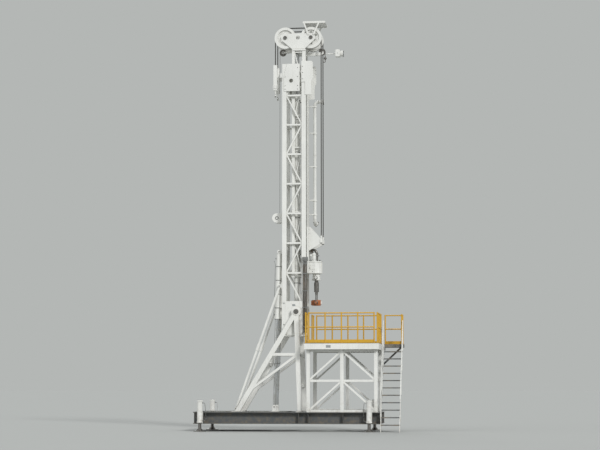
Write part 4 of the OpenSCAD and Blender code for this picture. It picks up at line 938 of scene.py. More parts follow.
class RIG_OT_chequer(bpy.types.Operator):
    """Raises the lozenges of the chequer plate on the decks and treads"""

    bl_idname = "rig.chequer"
    bl_label = "Chequer plate"

    tall: FloatProperty(name="Height", description="How high a lozenge stands", default=0.0022,
                        unit="LENGTH")

    def execute(self, context):
        pitch = context.scene.rig_sizes.chequer_pitch
        rim, gap = (BOWL_HIGH.x - BOWL_LOW.x) / 2 + 0.02, pitch * 0.55
        feet = [(x0 - gap, min(s * y0, s * y1) - gap, x1 + gap, max(s * y0, s * y1) + gap)
                for x0, y0, x1, y1 in DECK_CUTS for s in SIDES]
        shape = Shape()
        self.field(shape, FLOOR_LOW, FLOOR_HIGH, pitch, lambda x, y: (x - WELL_X) ** 2 + y ** 2 < rim ** 2)
        low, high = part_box("stair_landing")
        self.field(shape, Vector((FLOOR_HIGH.x, low.y, 0)), Vector((high.x, high.y, FLOOR_HIGH.z)), pitch)
        self.field(shape, DECK_LOW, DECK_HIGH, pitch,
                   lambda x, y: any(x0 < x < x1 and y0 < y < y1 for x0, y0, x1, y1 in feet))
        for low, high in treads():
            self.field(shape, low, high, pitch)
        shape.piece("chequer_lozenges", worn_lozenges, "root", "chequer_plate")
        return {"FINISHED"}

    def field(self, shape, low, high, pitch, bare=lambda x, y: False):
        """Lozenges in alternate directions over an oblong, apart from where it is bare."""
        edge = pitch * 0.55
        nx, ny = (int((b - a - 2 * edge) / pitch) for a, b in ((low.x, high.x), (low.y, high.y)))
        if nx < 1 or ny < 1:
            return
        x_start, y_start = (low.x + high.x - nx * pitch) / 2, (low.y + high.y - ny * pitch) / 2
        long, wide, taper, sunk = pitch * 0.42, pitch * 0.13, 0.55, 0.2 * MM
        for i, j in product(range(nx + 1), range(ny + 1)):
            x, y = x_start + i * pitch, y_start + j * pitch
            if bare(x, y):
                continue
            a = math.pi / 4 if (i + j) % 2 else -math.pi / 4
            u, v = (math.cos(a) * long, math.sin(a) * long), (-math.sin(a) * wide, math.cos(a) * wide)
            rim = (u, v, (-u[0], -u[1]), (-v[0], -v[1]))
            points = [(x + dx, y + dy, high.z - sunk) for dx, dy in rim]
            points += [(x + dx * taper, y + dy * taper, high.z + self.tall) for dx, dy in rim]
            sides = [(k, (k + 1) % 4, (k + 1) % 4 + 4, k + 4) for k in range(4)]
            shape.add(points, sides + [(4, 5, 6, 7)], [False] * 5)


class RIG_OT_bolts(bpy.types.Operator):
    """Sets the bolts of the feet, plates, clamps, flanges and caps"""

    bl_idname = "rig.bolts"
    bl_label = "Bolts"

    def execute(self, context):
        sizes = context.scene.rig_sizes
        big, small = bolt(sizes.bolt_flats), bolt(sizes.small_flats)
        root, inner, carriage = Shape(), Shape(), Shape()
        self.base(root, big, small)
        self.mast(root, big, small)
        self.crown(inner, small)
        self.top_drive(carriage, small)
        for shape, name, body in ((root, "base_bolts", "root"), (inner, "crown_bolts", "inner_mast"),
                                  (carriage, "top_drive_bolts", "carriage")):
            shape.piece(name, zinc_steel, body, "bare_steel")
        return {"FINISHED"}

    def base(self, shape, big, small):
        """Bolts of the jack brackets, the bowl's flange, the A-frames' feet and the pivot caps."""
        bracket_face, bracket_zs, half = RUNNER.y + 0.020, (0.33, 0.46, 0.59), 0.018
        bowl_r, cap_r = 0.196, 0.055
        for x, s in product(JACK_XS, SIDES):
            bolt_grid(shape, small, (x - half, x + half), (s * bracket_face,), bracket_zs, (0, s, 0))
            bolt_ring(shape, small, (x, s * JACK_Y, JACK_HIGH.z), UP, JACK_R * 0.72, 6)
        bolt_ring(shape, big, (WELL_X, 0, BOWL_HIGH.z), UP, bowl_r, 12)
        y, half = FOOT_BOLT_Y, 0.035
        for xs, s in product(FOOT_BOLT_XS, SIDES):
            bolt_grid(shape, big, xs, (s * y - half, s * y + half), (RUNNER.z + FOOT_PLATE,), UP)
        pin_x, pin_z = axle("pivot_pins")
        for s in SIDES:
            bolt_ring(shape, small, (pin_x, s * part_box("pivot_pins")[1].y, pin_z), (0, s, 0), cap_r, 6)

    def mast(self, shape, big, small):
        """Bolts of the head plates, the foot's gussets, the standpipe's clamps and the winch."""
        plate_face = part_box("mast_head")[1].y
        gusset_zs = (GUSSET_FOOT + 0.10, GUSSET_TOP + 0.06)
        leg_xs = (MAST_LOW.x + LEG_W / 2, MAST_HIGH.x - LEG_W / 2)
        for s in SIDES:
            for x, zs in HEAD_BOLTS.items():
                bolt_grid(shape, small, (x,), (s * plate_face,), zs, (0, s, 0))
            bolt_grid(shape, big, leg_xs, (s * (MAST_FACE + GUSSET_T),), gusset_zs, (0, s, 0))
        clamp_x, clamp_face, clamp_h, inset = 0.200, MAST_FACE + 0.016, 0.090, 0.015
        levels = sorted({round(v.co.z, 2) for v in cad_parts["standpipe_clamps"].data.vertices})
        for z in levels:
            if any(abs(z + clamp_h - other) < 6 * MM for other in levels):
                bolt_grid(shape, small, (clamp_x,), (clamp_face,), (z + inset, z + clamp_h - inset), FAR)
        back, foot_y, inset = WINCH_LOW.x + 0.365, 0.330, 0.050
        zs = (WINCH_LOW.z + inset, WINCH_HIGH.z - inset)
        bolt_grid(shape, small, (back,), (-foot_y, foot_y), zs, BACK)
        bolt_ring(shape, small, (DRUM_X, WINCH_HIGH.y, DRUM_Z), FAR, 0.062, 6)

    def crown(self, shape, small):
        """Bolts of the sheave shafts' caps and of the hood."""
        cap, cap_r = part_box("sheave_shafts")[1].y, 0.043
        for x, s in product((FRONT_X, REAR_X), SIDES):
            bolt_ring(shape, small, (x, s * cap, SHAFT_Z), (0, s, 0), cap_r, 4, math.pi / 4)
        low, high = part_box("crown_hood")
        outer, inner, side, plate_down = 0.06, 0.30, 0.015, 0.028
        xs, y = (low.x + outer, low.x + inner, high.x - inner, high.x - outer), high.y - side
        bolt_grid(shape, small, xs, (-y, y), (high.z - plate_down,), UP)

    def top_drive(self, shape, small):
        """Bolts of the gearbox's cover and foot, the motors and the carriage's shoes."""
        flange_r, top, motor_r, motor_flange_t = 0.199, BOX_HIGH.z, 0.079, 0.030
        foot_xs, foot_t, shoe_ys, shoe_ins = (0.380, 0.440), 0.003, (-0.33, -0.20, 0.20, 0.33), (0.08, 0.24)
        boss_r, boss_z = 0.139, BOX_LOW.z - 0.200
        for a in map(math.radians, (-20, 0, 20)):
            shape.put(small, facing((WELL_X + flange_r * math.cos(a), flange_r * math.sin(a), top), UP))
        for s in SIDES:
            bolt_grid(shape, small, foot_xs, (s * (GEARBOX_SIDE + foot_t),), (top,), UP)
            bolt_ring(shape, small, (MOTOR_X, s * MOTOR_Y, top + motor_flange_t), UP, motor_r, 8)
        shoe_zs = [z for inset in shoe_ins for z in (PLATE_LOW.z + inset, PLATE_HIGH.z - inset)]
        bolt_grid(shape, small, (CARRIAGE_FACE,), shoe_ys, shoe_zs, AHEAD)
        bolt_ring(shape, small, (WELL_X, 0, boss_z), UP, boss_r, 10)


# The straps round the cylinders' barrels: their width, how deep they sink in and how far they stand out
STRAP_W, STRAP_SUNK, STRAP_PROUD = 0.030, 0.002, 0.004


class RIG_OT_cylinders(bpy.types.Operator):
    """Fits glands, ports and lines to the hoist, raising and jack cylinders, and keepers to their pins"""

    bl_idname = "rig.cylinders"
    bl_label = "Cylinder fittings"

    line_r: FloatProperty(name="Line radius", description="Radius of the hydraulic hard lines",
                          default=0.008, unit="LENGTH")

    def execute(self, context):
        lines, glands = Shape(), Shape()
        self.hoist(lines, glands)
        self.raising(lines, glands)
        self.jacks(lines, glands)
        self.pins(glands)
        lines.piece("cylinder_lines", zinc_steel, "root", "bare_steel")
        glands.piece("cylinder_glands", machined_steel, "root", "bare_steel")
        return {"FINISHED"}

    def port(self, shape, at, out, size=0.034):
        """A port block with its hexagon fitting, standing out of a barrel. Gives the line's end."""
        place = facing(at, out)
        half, tall = size * 0.7, size * 0.55
        shape.put(block((-half, -half, -0.012), (half, half, tall), 0.002), place)
        shape.put(hexagon(size * 0.8, size * 0.5), on(place, 0, 0, tall))
        return place @ Vector((0, 0, size))

    def pipe(self, shape, points, bend=0.03):
        """A hard line with bends."""
        shape.put(tube(bent(points, bend), self.line_r))

    def strap(self, radius):
        """A band round a barrel."""
        return collar(radius - STRAP_SUNK, radius + STRAP_PROUD, 0, STRAP_W)

    def hoist(self, lines, glands):
        """The two hoist cylinders: gland screws, wipers and a line up each barrel."""
        low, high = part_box("hoist_barrels")
        head_r, barrel_r, clear = 0.097, 0.085, 0.115
        screws_r, rod_r, wiper_r, wiper_h = 0.078, 0.0505, 0.062, 0.010
        port_in, line_in, foot_strap, strap_step, straps = 0.16, 0.30, 0.65, 1.15, 7
        leave, rise, half, sunk, past = 0.010, 0.05, 0.014, 0.004, 0.006
        x = (low.x + high.x) / 2
        for s in SIDES:
            y = s * (high.y - head_r)
            bolt_ring(glands, bolt(0.018, False), (x, y, high.z), UP, screws_r, 8)
            glands.put(collar(rod_r, wiper_r, 0, wiper_h), (x, y, high.z))
            foot = self.port(lines, (x + barrel_r, y, low.z + port_in), AHEAD)
            head = self.port(lines, (x + barrel_r, y, high.z - port_in), AHEAD)
            self.pipe(lines, [foot, foot + Vector((leave, 0, rise)), (x + clear, y, low.z + line_in),
                              (x + clear, y, high.z - line_in), head + Vector((leave, 0, -rise)), head])
            bracket = block((barrel_r - sunk, -half, 0), (clear + self.line_r + past, half, STRAP_W), 0.002)
            for i in range(straps):
                at = (x, y, low.z + foot_strap + i * strap_step)
                lines.put(self.strap(barrel_r), at)
                lines.put(bracket, at)

    def raising(self, lines, glands):
        """The two raising cylinders: ports and a line down the rear of each barrel."""
        length = (Vector(RAISE_FOOT) - Vector(RAISE_TOP)).length
        neck, barrel_r, first_strap, strap_step, straps = 0.080, 0.095, 0.42, 0.48, 4
        barrel_share, second_share, line_out = 0.42, 0.72, 0.030
        end = neck + length * barrel_share
        first_port, last_port = neck + 0.16, end - 0.14
        line_top, line_bend, line_foot = neck + 0.24, neck + 0.34, end - 0.28
        for s in SIDES:
            top, foot = (Vector((x, s * y, z)) for x, y, z in (RAISE_TOP, RAISE_FOOT))
            axis = (foot - top).normalized()
            rear = (Vector(BACK) - axis * axis.dot(Vector(BACK))).normalized()
            line_at = rear * (barrel_r + line_out)
            glands.put(collar(0.0785, 0.100, 0, 0.016), facing(top + axis * end, axis))
            self.port(lines, top + axis * first_port + rear * barrel_r, rear)
            last = self.port(lines, top + axis * last_port + rear * barrel_r, rear)
            self.pipe(lines, [last, last - axis * 0.05 + rear * 0.008, top + axis * line_foot + line_at,
                              top + axis * line_bend + line_at, top + axis * line_top + line_at * 1.35])
            for i in range(straps):
                at = top + axis * (neck + first_strap + i * strap_step)
                lines.put(self.strap(barrel_r), facing(at, axis))
            # The second stage's gland
            glands.put(collar(0.0625, 0.080, 0, 0.012), facing(top + axis * length * second_share, axis))

    def jacks(self, lines, glands):
        """The four jacks: lock rings and a short hose from each port into the skid."""
        away, bend, ring_up = 0.19, 0.05, 0.04
        # How high each hose leaves the jack and enters the skid's beam
        hoses = ((JACK_LOW.z + 0.10, 0.44), (JACK_HIGH.z - 0.09, 0.54))
        for x, s in product(JACK_XS, SIDES):
            inward = 1 if x < 0 else -1
            y, hose_x, beam_y = s * JACK_Y, x + inward * away, s * RUNNER.y
            glands.put(collar(0.056, 0.100, -0.022, 0.0), (x, y, JACK_LOW.z + ring_up))
            for z, z_in in hoses:
                end = self.port(lines, (x + inward * JACK_R, y, z), (inward, 0, 0), 0.028)
                route = [end, end + Vector((inward * bend, 0, 0)), (hose_x, y * 0.97, (z + z_in) / 2),
                         (hose_x, beam_y + s * 0.012, z_in), (hose_x, beam_y - s * 0.020, z_in)]
                self.pipe(lines, route, bend)
                lines.put(hexagon(0.030, 0.012), facing((hose_x, beam_y, z_in), (0, s, 0)))

    def pins(self, glands):
        """Keeper plates on the ends of the clevis pins."""
        pins = ((RAISE_FOOT, RAISE_HALF), (RAISE_TOP, RAISE_HALF),
                (STRUT_FOOT, STRUT_HALF), (STRUT_TOP, STRUT_HALF))
        long, wide, thick, bolt_x = 0.030, 0.011, 0.006, 0.018
        for ((x, y, z), half), s, e in product(pins, SIDES, SIDES):
            place = facing((x, s * y + e * half, z), (0, e, 0))
            glands.put(block((-long, -wide, -MM), (long, wide, thick), MM), place)
            for dx in (-bolt_x, bolt_x):
                glands.put(bolt(0.012, False), on(place, dx, 0, thick))


# The hydraulic hoses: how far apart they lie, their nuts and valve block, and the clips' feet
HOSE_PITCH, HOSE_R, NUT_FLATS, NUT_H = 0.052, 0.019, 0.045, 0.060
BLOCK_H, BLOCK_HALF, CLIP_ZS = 0.140, 0.045, (3.560, 4.230, 4.800, 5.400)


class RIG_OT_hoses(bpy.types.Operator):
    """Hangs the wrapped hydraulic hoses, their couplings, clips and valve block on the mast's front leg"""

    bl_idname = "rig.hoses"
    bl_label = "Hydraulic hoses"

    sway: FloatProperty(name="Sway", description="How far a hose strays between two clips", default=0.003,
                        unit="LENGTH")

    def execute(self, context):
        low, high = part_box("hydraulic_lines")
        y = low.y + BLOCK_HALF
        xs = [low.x + BLOCK_HALF + HOSE_PITCH * i for i in range(3)]
        foot, head, points = low.z + NUT_H, high.z - BLOCK_H - NUT_H + MM, 60
        rubber, metal, clamps = Shape(), Shape(), Shape()
        for x in xs:
            path = []
            for i in range(points):
                z = foot + 0.03 + (head - foot - 0.06) * i / (points - 1)
                near = min(abs(z - clip - 0.02) for clip in CLIP_ZS)
                stray = self.sway * min(1.0, near / 0.25) * math.sin(z * 4 + x * 60)
                path.append((x + stray, y - abs(stray) * 0.5, z))
            rubber.put(tube(path, HOSE_R, 16))
            self.coupling(metal, facing((x, y, foot), UP))
            self.coupling(metal, facing((x, y, head), DOWN))
        for z in CLIP_ZS:
            self.clip(clamps, metal, xs, y, z)
        self.valve(metal, xs, y, high.z - BLOCK_H, high.z)
        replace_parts(rubber.piece("hoses_wrapped", hose_rubber, "root", "hose_rubber"), "hydraulic_lines")
        metal.piece("hose_couplings_and_block", zinc_steel, "root", "bare_steel")
        clamps.piece("hose_clips", nylon, "root", "grey_paint")
        return {"FINISHED"}

    def coupling(self, shape, place):
        """A crimped ferrule over the hose's end and a hexagon nut beyond it."""
        for i in range(4):
            foot, proud = i * 0.013, 0.005 if i % 2 else 0.003
            shape.put(collar(HOSE_R - 0.002, HOSE_R + proud, foot, foot + 0.0125), place)
        shape.put(hexagon(NUT_FLATS, NUT_H * 0.55), on(place, 0, 0, -NUT_H * 0.55))
        shape.put(turned([(NUT_FLATS * 0.40, -NUT_H), (NUT_FLATS * 0.40, -NUT_H * 0.5)], 20), place)

    def clip(self, clamps, metal, xs, y, z):
        """A moulded clip in two halves with a steel cover strip, two bolts and a bracket to the leg."""
        wall, tall, rim, strip = 0.011, 0.040, 0.004, 0.007
        x0, x1, front = xs[0] - HOSE_R - wall, xs[-1] + HOSE_R + wall, y - HOSE_R
        clamps.put(block((x0, front - rim, z), (x1, y + HOSE_R + 0.006, z + tall), 0.003))
        metal.put(block((x0 - rim, front - strip, z + rim), (x1 + rim, front - 0.003, z + tall - rim)))
        for x in ((xs[0] + xs[1]) / 2, (xs[1] + xs[2]) / 2):
            metal.put(bolt(0.014, False), facing((x, front - strip, z + tall / 2), NEAR))
        leg_y = MAST_LOW.y - (GUSSET_T if z < FOOT_TOP else 0.0)
        metal.put(block((xs[0] - 0.020, y + HOSE_R, z + 0.006), (xs[0] + 0.040, leg_y, z + 0.034)))

    def valve(self, shape, xs, y, low, high):
        """The valve block with three cartridges, plugs and its bracket to the leg."""
        x0, x1, front, back = xs[0] - BLOCK_HALF, xs[-1] + BLOCK_HALF, y - BLOCK_HALF, y + BLOCK_HALF
        bracket_xs, bracket_in = (x0 + 0.005, x0 + 0.095), 0.021
        cartridge_z, plug_z = low + 0.045, low + 0.105
        shape.put(block((x0, front, low), (x1, back, high), 0.004))
        shape.put(block((bracket_xs[0], back - 0.004, low + bracket_in),
                        (bracket_xs[1], MAST_LOW.y, high - bracket_in), 0.002))
        for x in xs:
            place = facing((x, front, cartridge_z), NEAR)
            shape.put(hexagon(0.032, 0.014), place)
            shape.put(turned([(0.010, 0), (0.010, 0.026), (0.007, 0.030)], 18), place)
            shape.put(hexagon(0.020, 0.008), facing((x, front, plug_z), NEAR))
        inset = 0.014
        bolt_grid(shape, bolt(0.013, False), (x0 + inset, x1 - inset), (front,),
                  (low + inset, high - inset), NEAR)


class RIG_OT_top_drive(bpy.types.Operator):
    """Dresses the top drive: covers, gauge, hoses, unions, the elevator's hinge and latch, wear pads"""

    bl_idname = "rig.top_drive"
    bl_label = "Top drive details"

    hose_r: FloatProperty(name="Hose radius", description="Radius of the motors' hoses", default=0.014,
                          unit="LENGTH")

    def execute(self, context):
        metal, hoses, white, orange, pads, glass = (Shape() for _ in range(6))
        self.gearbox(metal, white, glass)
        self.motors(metal, hoses)
        self.swivel(metal)
        self.handler(metal)
        self.elevator(metal, orange, white)
        self.pads(pads)
        for shape, name, maker, slot in (
                (metal, "top_drive_fittings", zinc_steel, "bare_steel"),
                (hoses, "motor_hoses", hose_rubber, "hose_rubber"),
                (white, "top_drive_covers", white_enamel, "white_paint"),
                (orange, "elevator_hinge_and_handles", orange_casting, "rusty_steel"),
                (pads, "carriage_wear_pads", nylon, "grey_paint"),
                (glass, "oil_gauge_glass", lamp_glass, "bright_steel")):
            shape.piece(name, maker, "carriage", slot)
        return {"FINISHED"}

    def gearbox(self, metal, white, glass):
        """Side covers with their bolts, an oil gauge, a breather, a drain plug and two lifting eyes."""
        mid, x0, x1 = (BOX_LOW.z + BOX_HIGH.z) / 2, 0.385, 0.545
        half, cover_face, edge = 0.085, GEARBOX_SIDE + 0.010, 0.015
        eye_r, eye_up = 0.022, 0.034
        for s in SIDES:
            y0, y1 = sorted((s * GEARBOX_SIDE, s * cover_face))
            white.put(block((x0, y0, mid - half), (x1, y1, mid + half), 0.004))
            bolt_grid(metal, bolt(0.013, False), (x0 + edge, (x0 + x1) / 2, x1 - edge), (s * cover_face,),
                      (mid - half + edge, mid + half - edge), (0, s, 0))
            eye = Vector((0.405, s * 0.190, BOX_HIGH.z))
            metal.put(turned([(0.020, -0.002), (0.020, 0.012)], 18), eye)
            ring = arc(eye + Vector((0, 0, eye_up)), AHEAD, UP, eye_r, 2 * math.pi, 24)[:-1]
            metal.put(tube(ring, 0.007, closed=True))
        gauge = facing((0.370, -GEARBOX_SIDE, mid - 0.03), NEAR)
        metal.put(collar(0.012, 0.020, 0, 0.010), gauge)
        glass.put(turned([(0.012, 0), (0.012, 0.007)], 20), gauge)
        metal.put(hexagon(0.030, 0.014), facing((0.465, -GEARBOX_SIDE, BOX_LOW.z + 0.055), NEAR))
        breather = [(0.014, 0), (0.014, 0.030), (0.026, 0.034), (0.026, 0.060), (0.018, 0.068)]
        metal.put(turned(breather, 22), (0.690, 0.075, BOX_HIGH.z))

    def motors(self, metal, hoses):
        """Hoses from the motors' port blocks to a manifold on the carriage's plate."""
        motor_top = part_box("drive_motors")[1].z
        port_xs, port_z, nut_h, z0, z1 = (0.398, 0.438), motor_top - 0.040, 0.018, 6.440, 6.530
        fitting, plug = hexagon(0.030, nut_h), hexagon(0.026, 0.010)
        band, band_zs = (0.071, 0.0745), (5.940, 6.080)
        metal.put(block((CARRIAGE_FACE - 0.001, -0.130, z0), (CARRIAGE_FACE + 0.055, 0.130, z1), 0.004))
        for s, (k, x) in product(SIDES, enumerate(port_xs)):
            start = Vector((x, s * MOTOR_Y, port_z))
            end = Vector((CARRIAGE_FACE + 0.028, s * (0.095 - 0.055 * k), z0))
            metal.put(fitting, start)
            metal.put(fitting, facing(end, DOWN))
            a, b = start + Vector((0, 0, nut_h)), end - Vector((0, 0, nut_h))
            route = [a, a + Vector((0.01, 0, 0.09)), b - Vector((-0.03, -s * 0.02, 0.10)), b]
            hoses.put(tube(bent(route, 0.08), self.hose_r, 14))
            for at, out in ((a, UP), (b, DOWN)):
                metal.put(collar(self.hose_r - 0.001, self.hose_r + 0.004, 0, 0.030), facing(at, out))
            metal.put(plug, (end.x, end.y, z1))
        for s in SIDES:
            metal.put(plug, (MOTOR_X, s * MOTOR_Y, motor_top))
            for z in band_zs:
                metal.put(collar(*band, 0, 0.010, 32), (MOTOR_X, s * MOTOR_Y, z))

    def union(self, shape, at, out, bore, outer, lugs=3):
        """A hammer union's wing nut with its lugs."""
        place = facing(at, out)
        shape.put(collar(bore, outer, 0, 0.044), place)
        for a in angles(lugs):
            shape.put(block((outer - 0.006, -0.015, 0.004), (outer + 0.026, 0.015, 0.040), 0.003),
                      place @ Matrix.Rotation(a, 4, "Z"))

    def swivel(self, metal):
        """The wash pipe's packing nut, and the gooseneck's union with its blanking cap."""
        foot, bend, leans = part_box("swivel")[0].z, 0.110, math.radians(30)
        nut_up, bend_up, union_back, cap_back = 0.185, 0.300, 0.030, 0.012
        self.union(metal, (WELL_X, 0, foot + nut_up), UP, 0.057, 0.074, 6)
        end = Vector((WELL_X - bend - bend * math.cos(leans), 0, foot + bend_up + bend * math.sin(leans)))
        out = Vector((-math.sin(leans), 0, -math.cos(leans)))
        self.union(metal, end - out * union_back, out, 0.041, 0.056)
        cap = turned([(0.038, 0.014), (0.038, 0.030), (0.030, 0.036)])
        metal.put(cap, facing(end - out * cap_back, out))

    def handler(self, metal):
        """The pipe handler's grease fittings, and the bolts of the links' upper eyes."""
        low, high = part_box("pipe_handler")
        middle, body_r, seat_h = Vector((WELL_X, 0, (low.z + high.z) / 2 + 0.02)), 0.128, 0.007
        nipple = [(0.004, 0), (0.004, 0.012), (0.006, 0.014), (0.003, 0.018)]
        for a in map(math.radians, (35, 145, 215, 325)):
            out = Vector((math.cos(a), math.sin(a), 0))
            at = middle + out * body_r
            metal.put(hexagon(0.014, 0.008), facing(at, out))
            metal.put(turned(nipple, 12), facing(at + out * seat_h, out))
        bolt_links(metal, 0.016, LINK_TOP)

    def elevator(self, metal, orange, white):
        """The elevator's hinge, latch cover, two lifting handles, and the bolts of the links' lower eyes."""
        low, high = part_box("elevator")
        r, mid, hinge_x, latch_x = 0.150, (low.z + high.z) / 2, WELL_X - 0.162, WELL_X + 0.1705
        half_x, half_y, half_z, latch_pin_x = 0.021, 0.0415, 0.0515, WELL_X + 0.165
        for z in (low.z + 0.020, mid - 0.022, high.z - 0.064):
            orange.put(turned([(0.030, 0), (0.030, 0.044)], 20), (hinge_x, 0, z))
        rod(metal, (hinge_x, 0, low.z + 0.006), (hinge_x, 0, high.z - 0.004), 0.013)
        # The latch is painted white, so that the crew sees whether it is shut
        white.put(block((latch_x - half_x, -half_y, mid - half_z),
                        (latch_x + half_x, half_y, mid + half_z), 0.003))
        for s, dx in product(SIDES, (-0.075, 0.075)):
            x, y = WELL_X + dx, s * math.sqrt(r * r - dx * dx)
            top, foot = high.z - 0.035, low.z + 0.035
            route = [(x, y * 0.98, top), (x, y * 1.22, top), (x, y * 1.22, foot), (x, y * 0.98, foot)]
            orange.put(tube(bent(route, 0.03), 0.009))
        bolt_links(metal, 0.018, LINK_FOOT)
        rod(metal, (latch_pin_x, 0, mid - 0.062), (latch_pin_x, 0, mid + 0.062), 0.010)

    def pads(self, pads):
        """Nylon pads that show at the ends of the carriage's shoes."""
        for s, (z, up) in product(SIDES, ((PLATE_LOW.z + 0.320, 1), (PLATE_HIGH.z - 0.320, -1))):
            z0, z1 = sorted((z - up * 0.004, z + up * 0.010))
            y0, y1 = sorted((s * 0.215, s * 0.325))
            pads.put(block((0.2475, y0, z0), (0.279, y1, z1), 0.002))


class RIG_OT_lamp(bpy.types.Operator):
    """Gives the floodlight its reflector, glass, bezel, fins and clamp"""

    bl_idname = "rig.lamp"
    bl_label = "Floodlight"

    fins: IntProperty(name="Fins", description="Cooling fins on the lamp's body", default=9)

    def execute(self, context):
        low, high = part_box("floodlight")
        y, z, half_w = (low.y + high.y) / 2, (low.z + high.z) / 2, (high.y - low.y) / 2
        bowl, glass, metal, body = Shape(), Shape(), Shape(), Shape()
        face = facing((high.x, y, z), AHEAD)
        bowl.put(turned([(0.104, 0.0004), (0.104, 0.002)], 36), face)
        glass.put(turned([(0.106, 0.004), (0.106, 0.009), (0.080, 0.016), (0.040, 0.020)], 36), face)
        metal.put(collar(0.100, 0.121, -0.006, 0.012, 36), face)
        bolt_ring(metal, bolt(0.008, False), (high.x + 0.011, y, z), AHEAD, 0.112, 8)
        top, rod_z, half_t, inset = high.z - 0.005, 13.240, 0.003, 0.020
        for i in range(self.fins):
            at = low.y + inset + i * 2 * (half_w - inset) / (self.fins - 1)
            body.put(block((low.x + 0.040, at - half_t, top), (low.x + 0.170, at + half_t, top + 0.022)))
            body.put(block((low.x + 0.012, at - half_t, rod_z - 0.090),
                           (low.x + 0.031, at + half_t, rod_z + 0.090)))
        for s in SIDES:
            metal.put(bolt(0.020), facing((low.x + 0.105, y + s * half_w, z), (0, s, 0)))
        metal.put(collar(0.016, 0.030, -0.030, 0.0), facing((low.x, y, rod_z), BACK))
        for shape, name, maker, slot in ((bowl, "lamp_reflector", reflector, "bright_steel"),
                                         (glass, "lamp_glass_front", lamp_glass, "bright_steel"),
                                         (metal, "lamp_bezel_and_bolts", zinc_steel, "bare_steel"),
                                         (body, "lamp_fins", white_enamel, "white_paint")):
            shape.piece(name, maker, "inner_mast", slot)
        return {"FINISHED"}


class RIG_OT_winch(bpy.types.Operator):
    """Winds the tugger line on its drum and fits the winch's motor"""

    bl_idname = "rig.winch"
    bl_label = "Tugger winch"

    line_r: FloatProperty(name="Line radius", description="Radius of the tugger line", default=LINE_R,
                          unit="LENGTH")

    def execute(self, context):
        half, slack, steps_a_turn, strands = 0.178, 0.4 * MM, 26, 3
        wound = int(2 * half / (2 * self.line_r + slack))
        count, radius = wound * steps_a_turn, DRUM_R + self.line_r
        path = []
        for i in range(count + 1):
            f = i / count - 0.5
            a = 2 * math.pi * wound * f
            path.append((DRUM_X + radius * math.cos(a), 2 * half * f, DRUM_Z + radius * math.sin(a)))
        wraps, metal = Shape(), Shape()
        wraps.put(tube(path, self.line_r * 0.98, 9, strands, LINE_LAY))
        wraps.piece("tugger_wraps", rope_steel, "root", "wire_rope")
        motor_y, motor_r, flange_y, block_h, seal_y = 0.335, 0.088, 0.265, 0.020, 0.225
        bolt_ring(metal, bolt(0.018, False), (DRUM_X, flange_y, DRUM_Z), FAR, 0.103, 10)
        for s in (1, -1):
            place = facing((DRUM_X, motor_y, DRUM_Z + s * motor_r), (0, 0, s))
            metal.put(block((-0.028, -0.028, -0.010), (0.028, 0.028, block_h), 0.003), place)
            metal.put(hexagon(0.026, 0.016), on(place, 0, 0, block_h))
            metal.put(turned([(0.009, 0.034), (0.009, 0.050)], 14), place)
        for s in SIDES:
            metal.put(collar(0.040, 0.062, 0, 0.012), facing((DRUM_X, s * seal_y, DRUM_Z), (0, s, 0)))
        metal.piece("winch_fittings", zinc_steel, "root", "bare_steel")
        return {"FINISHED"}


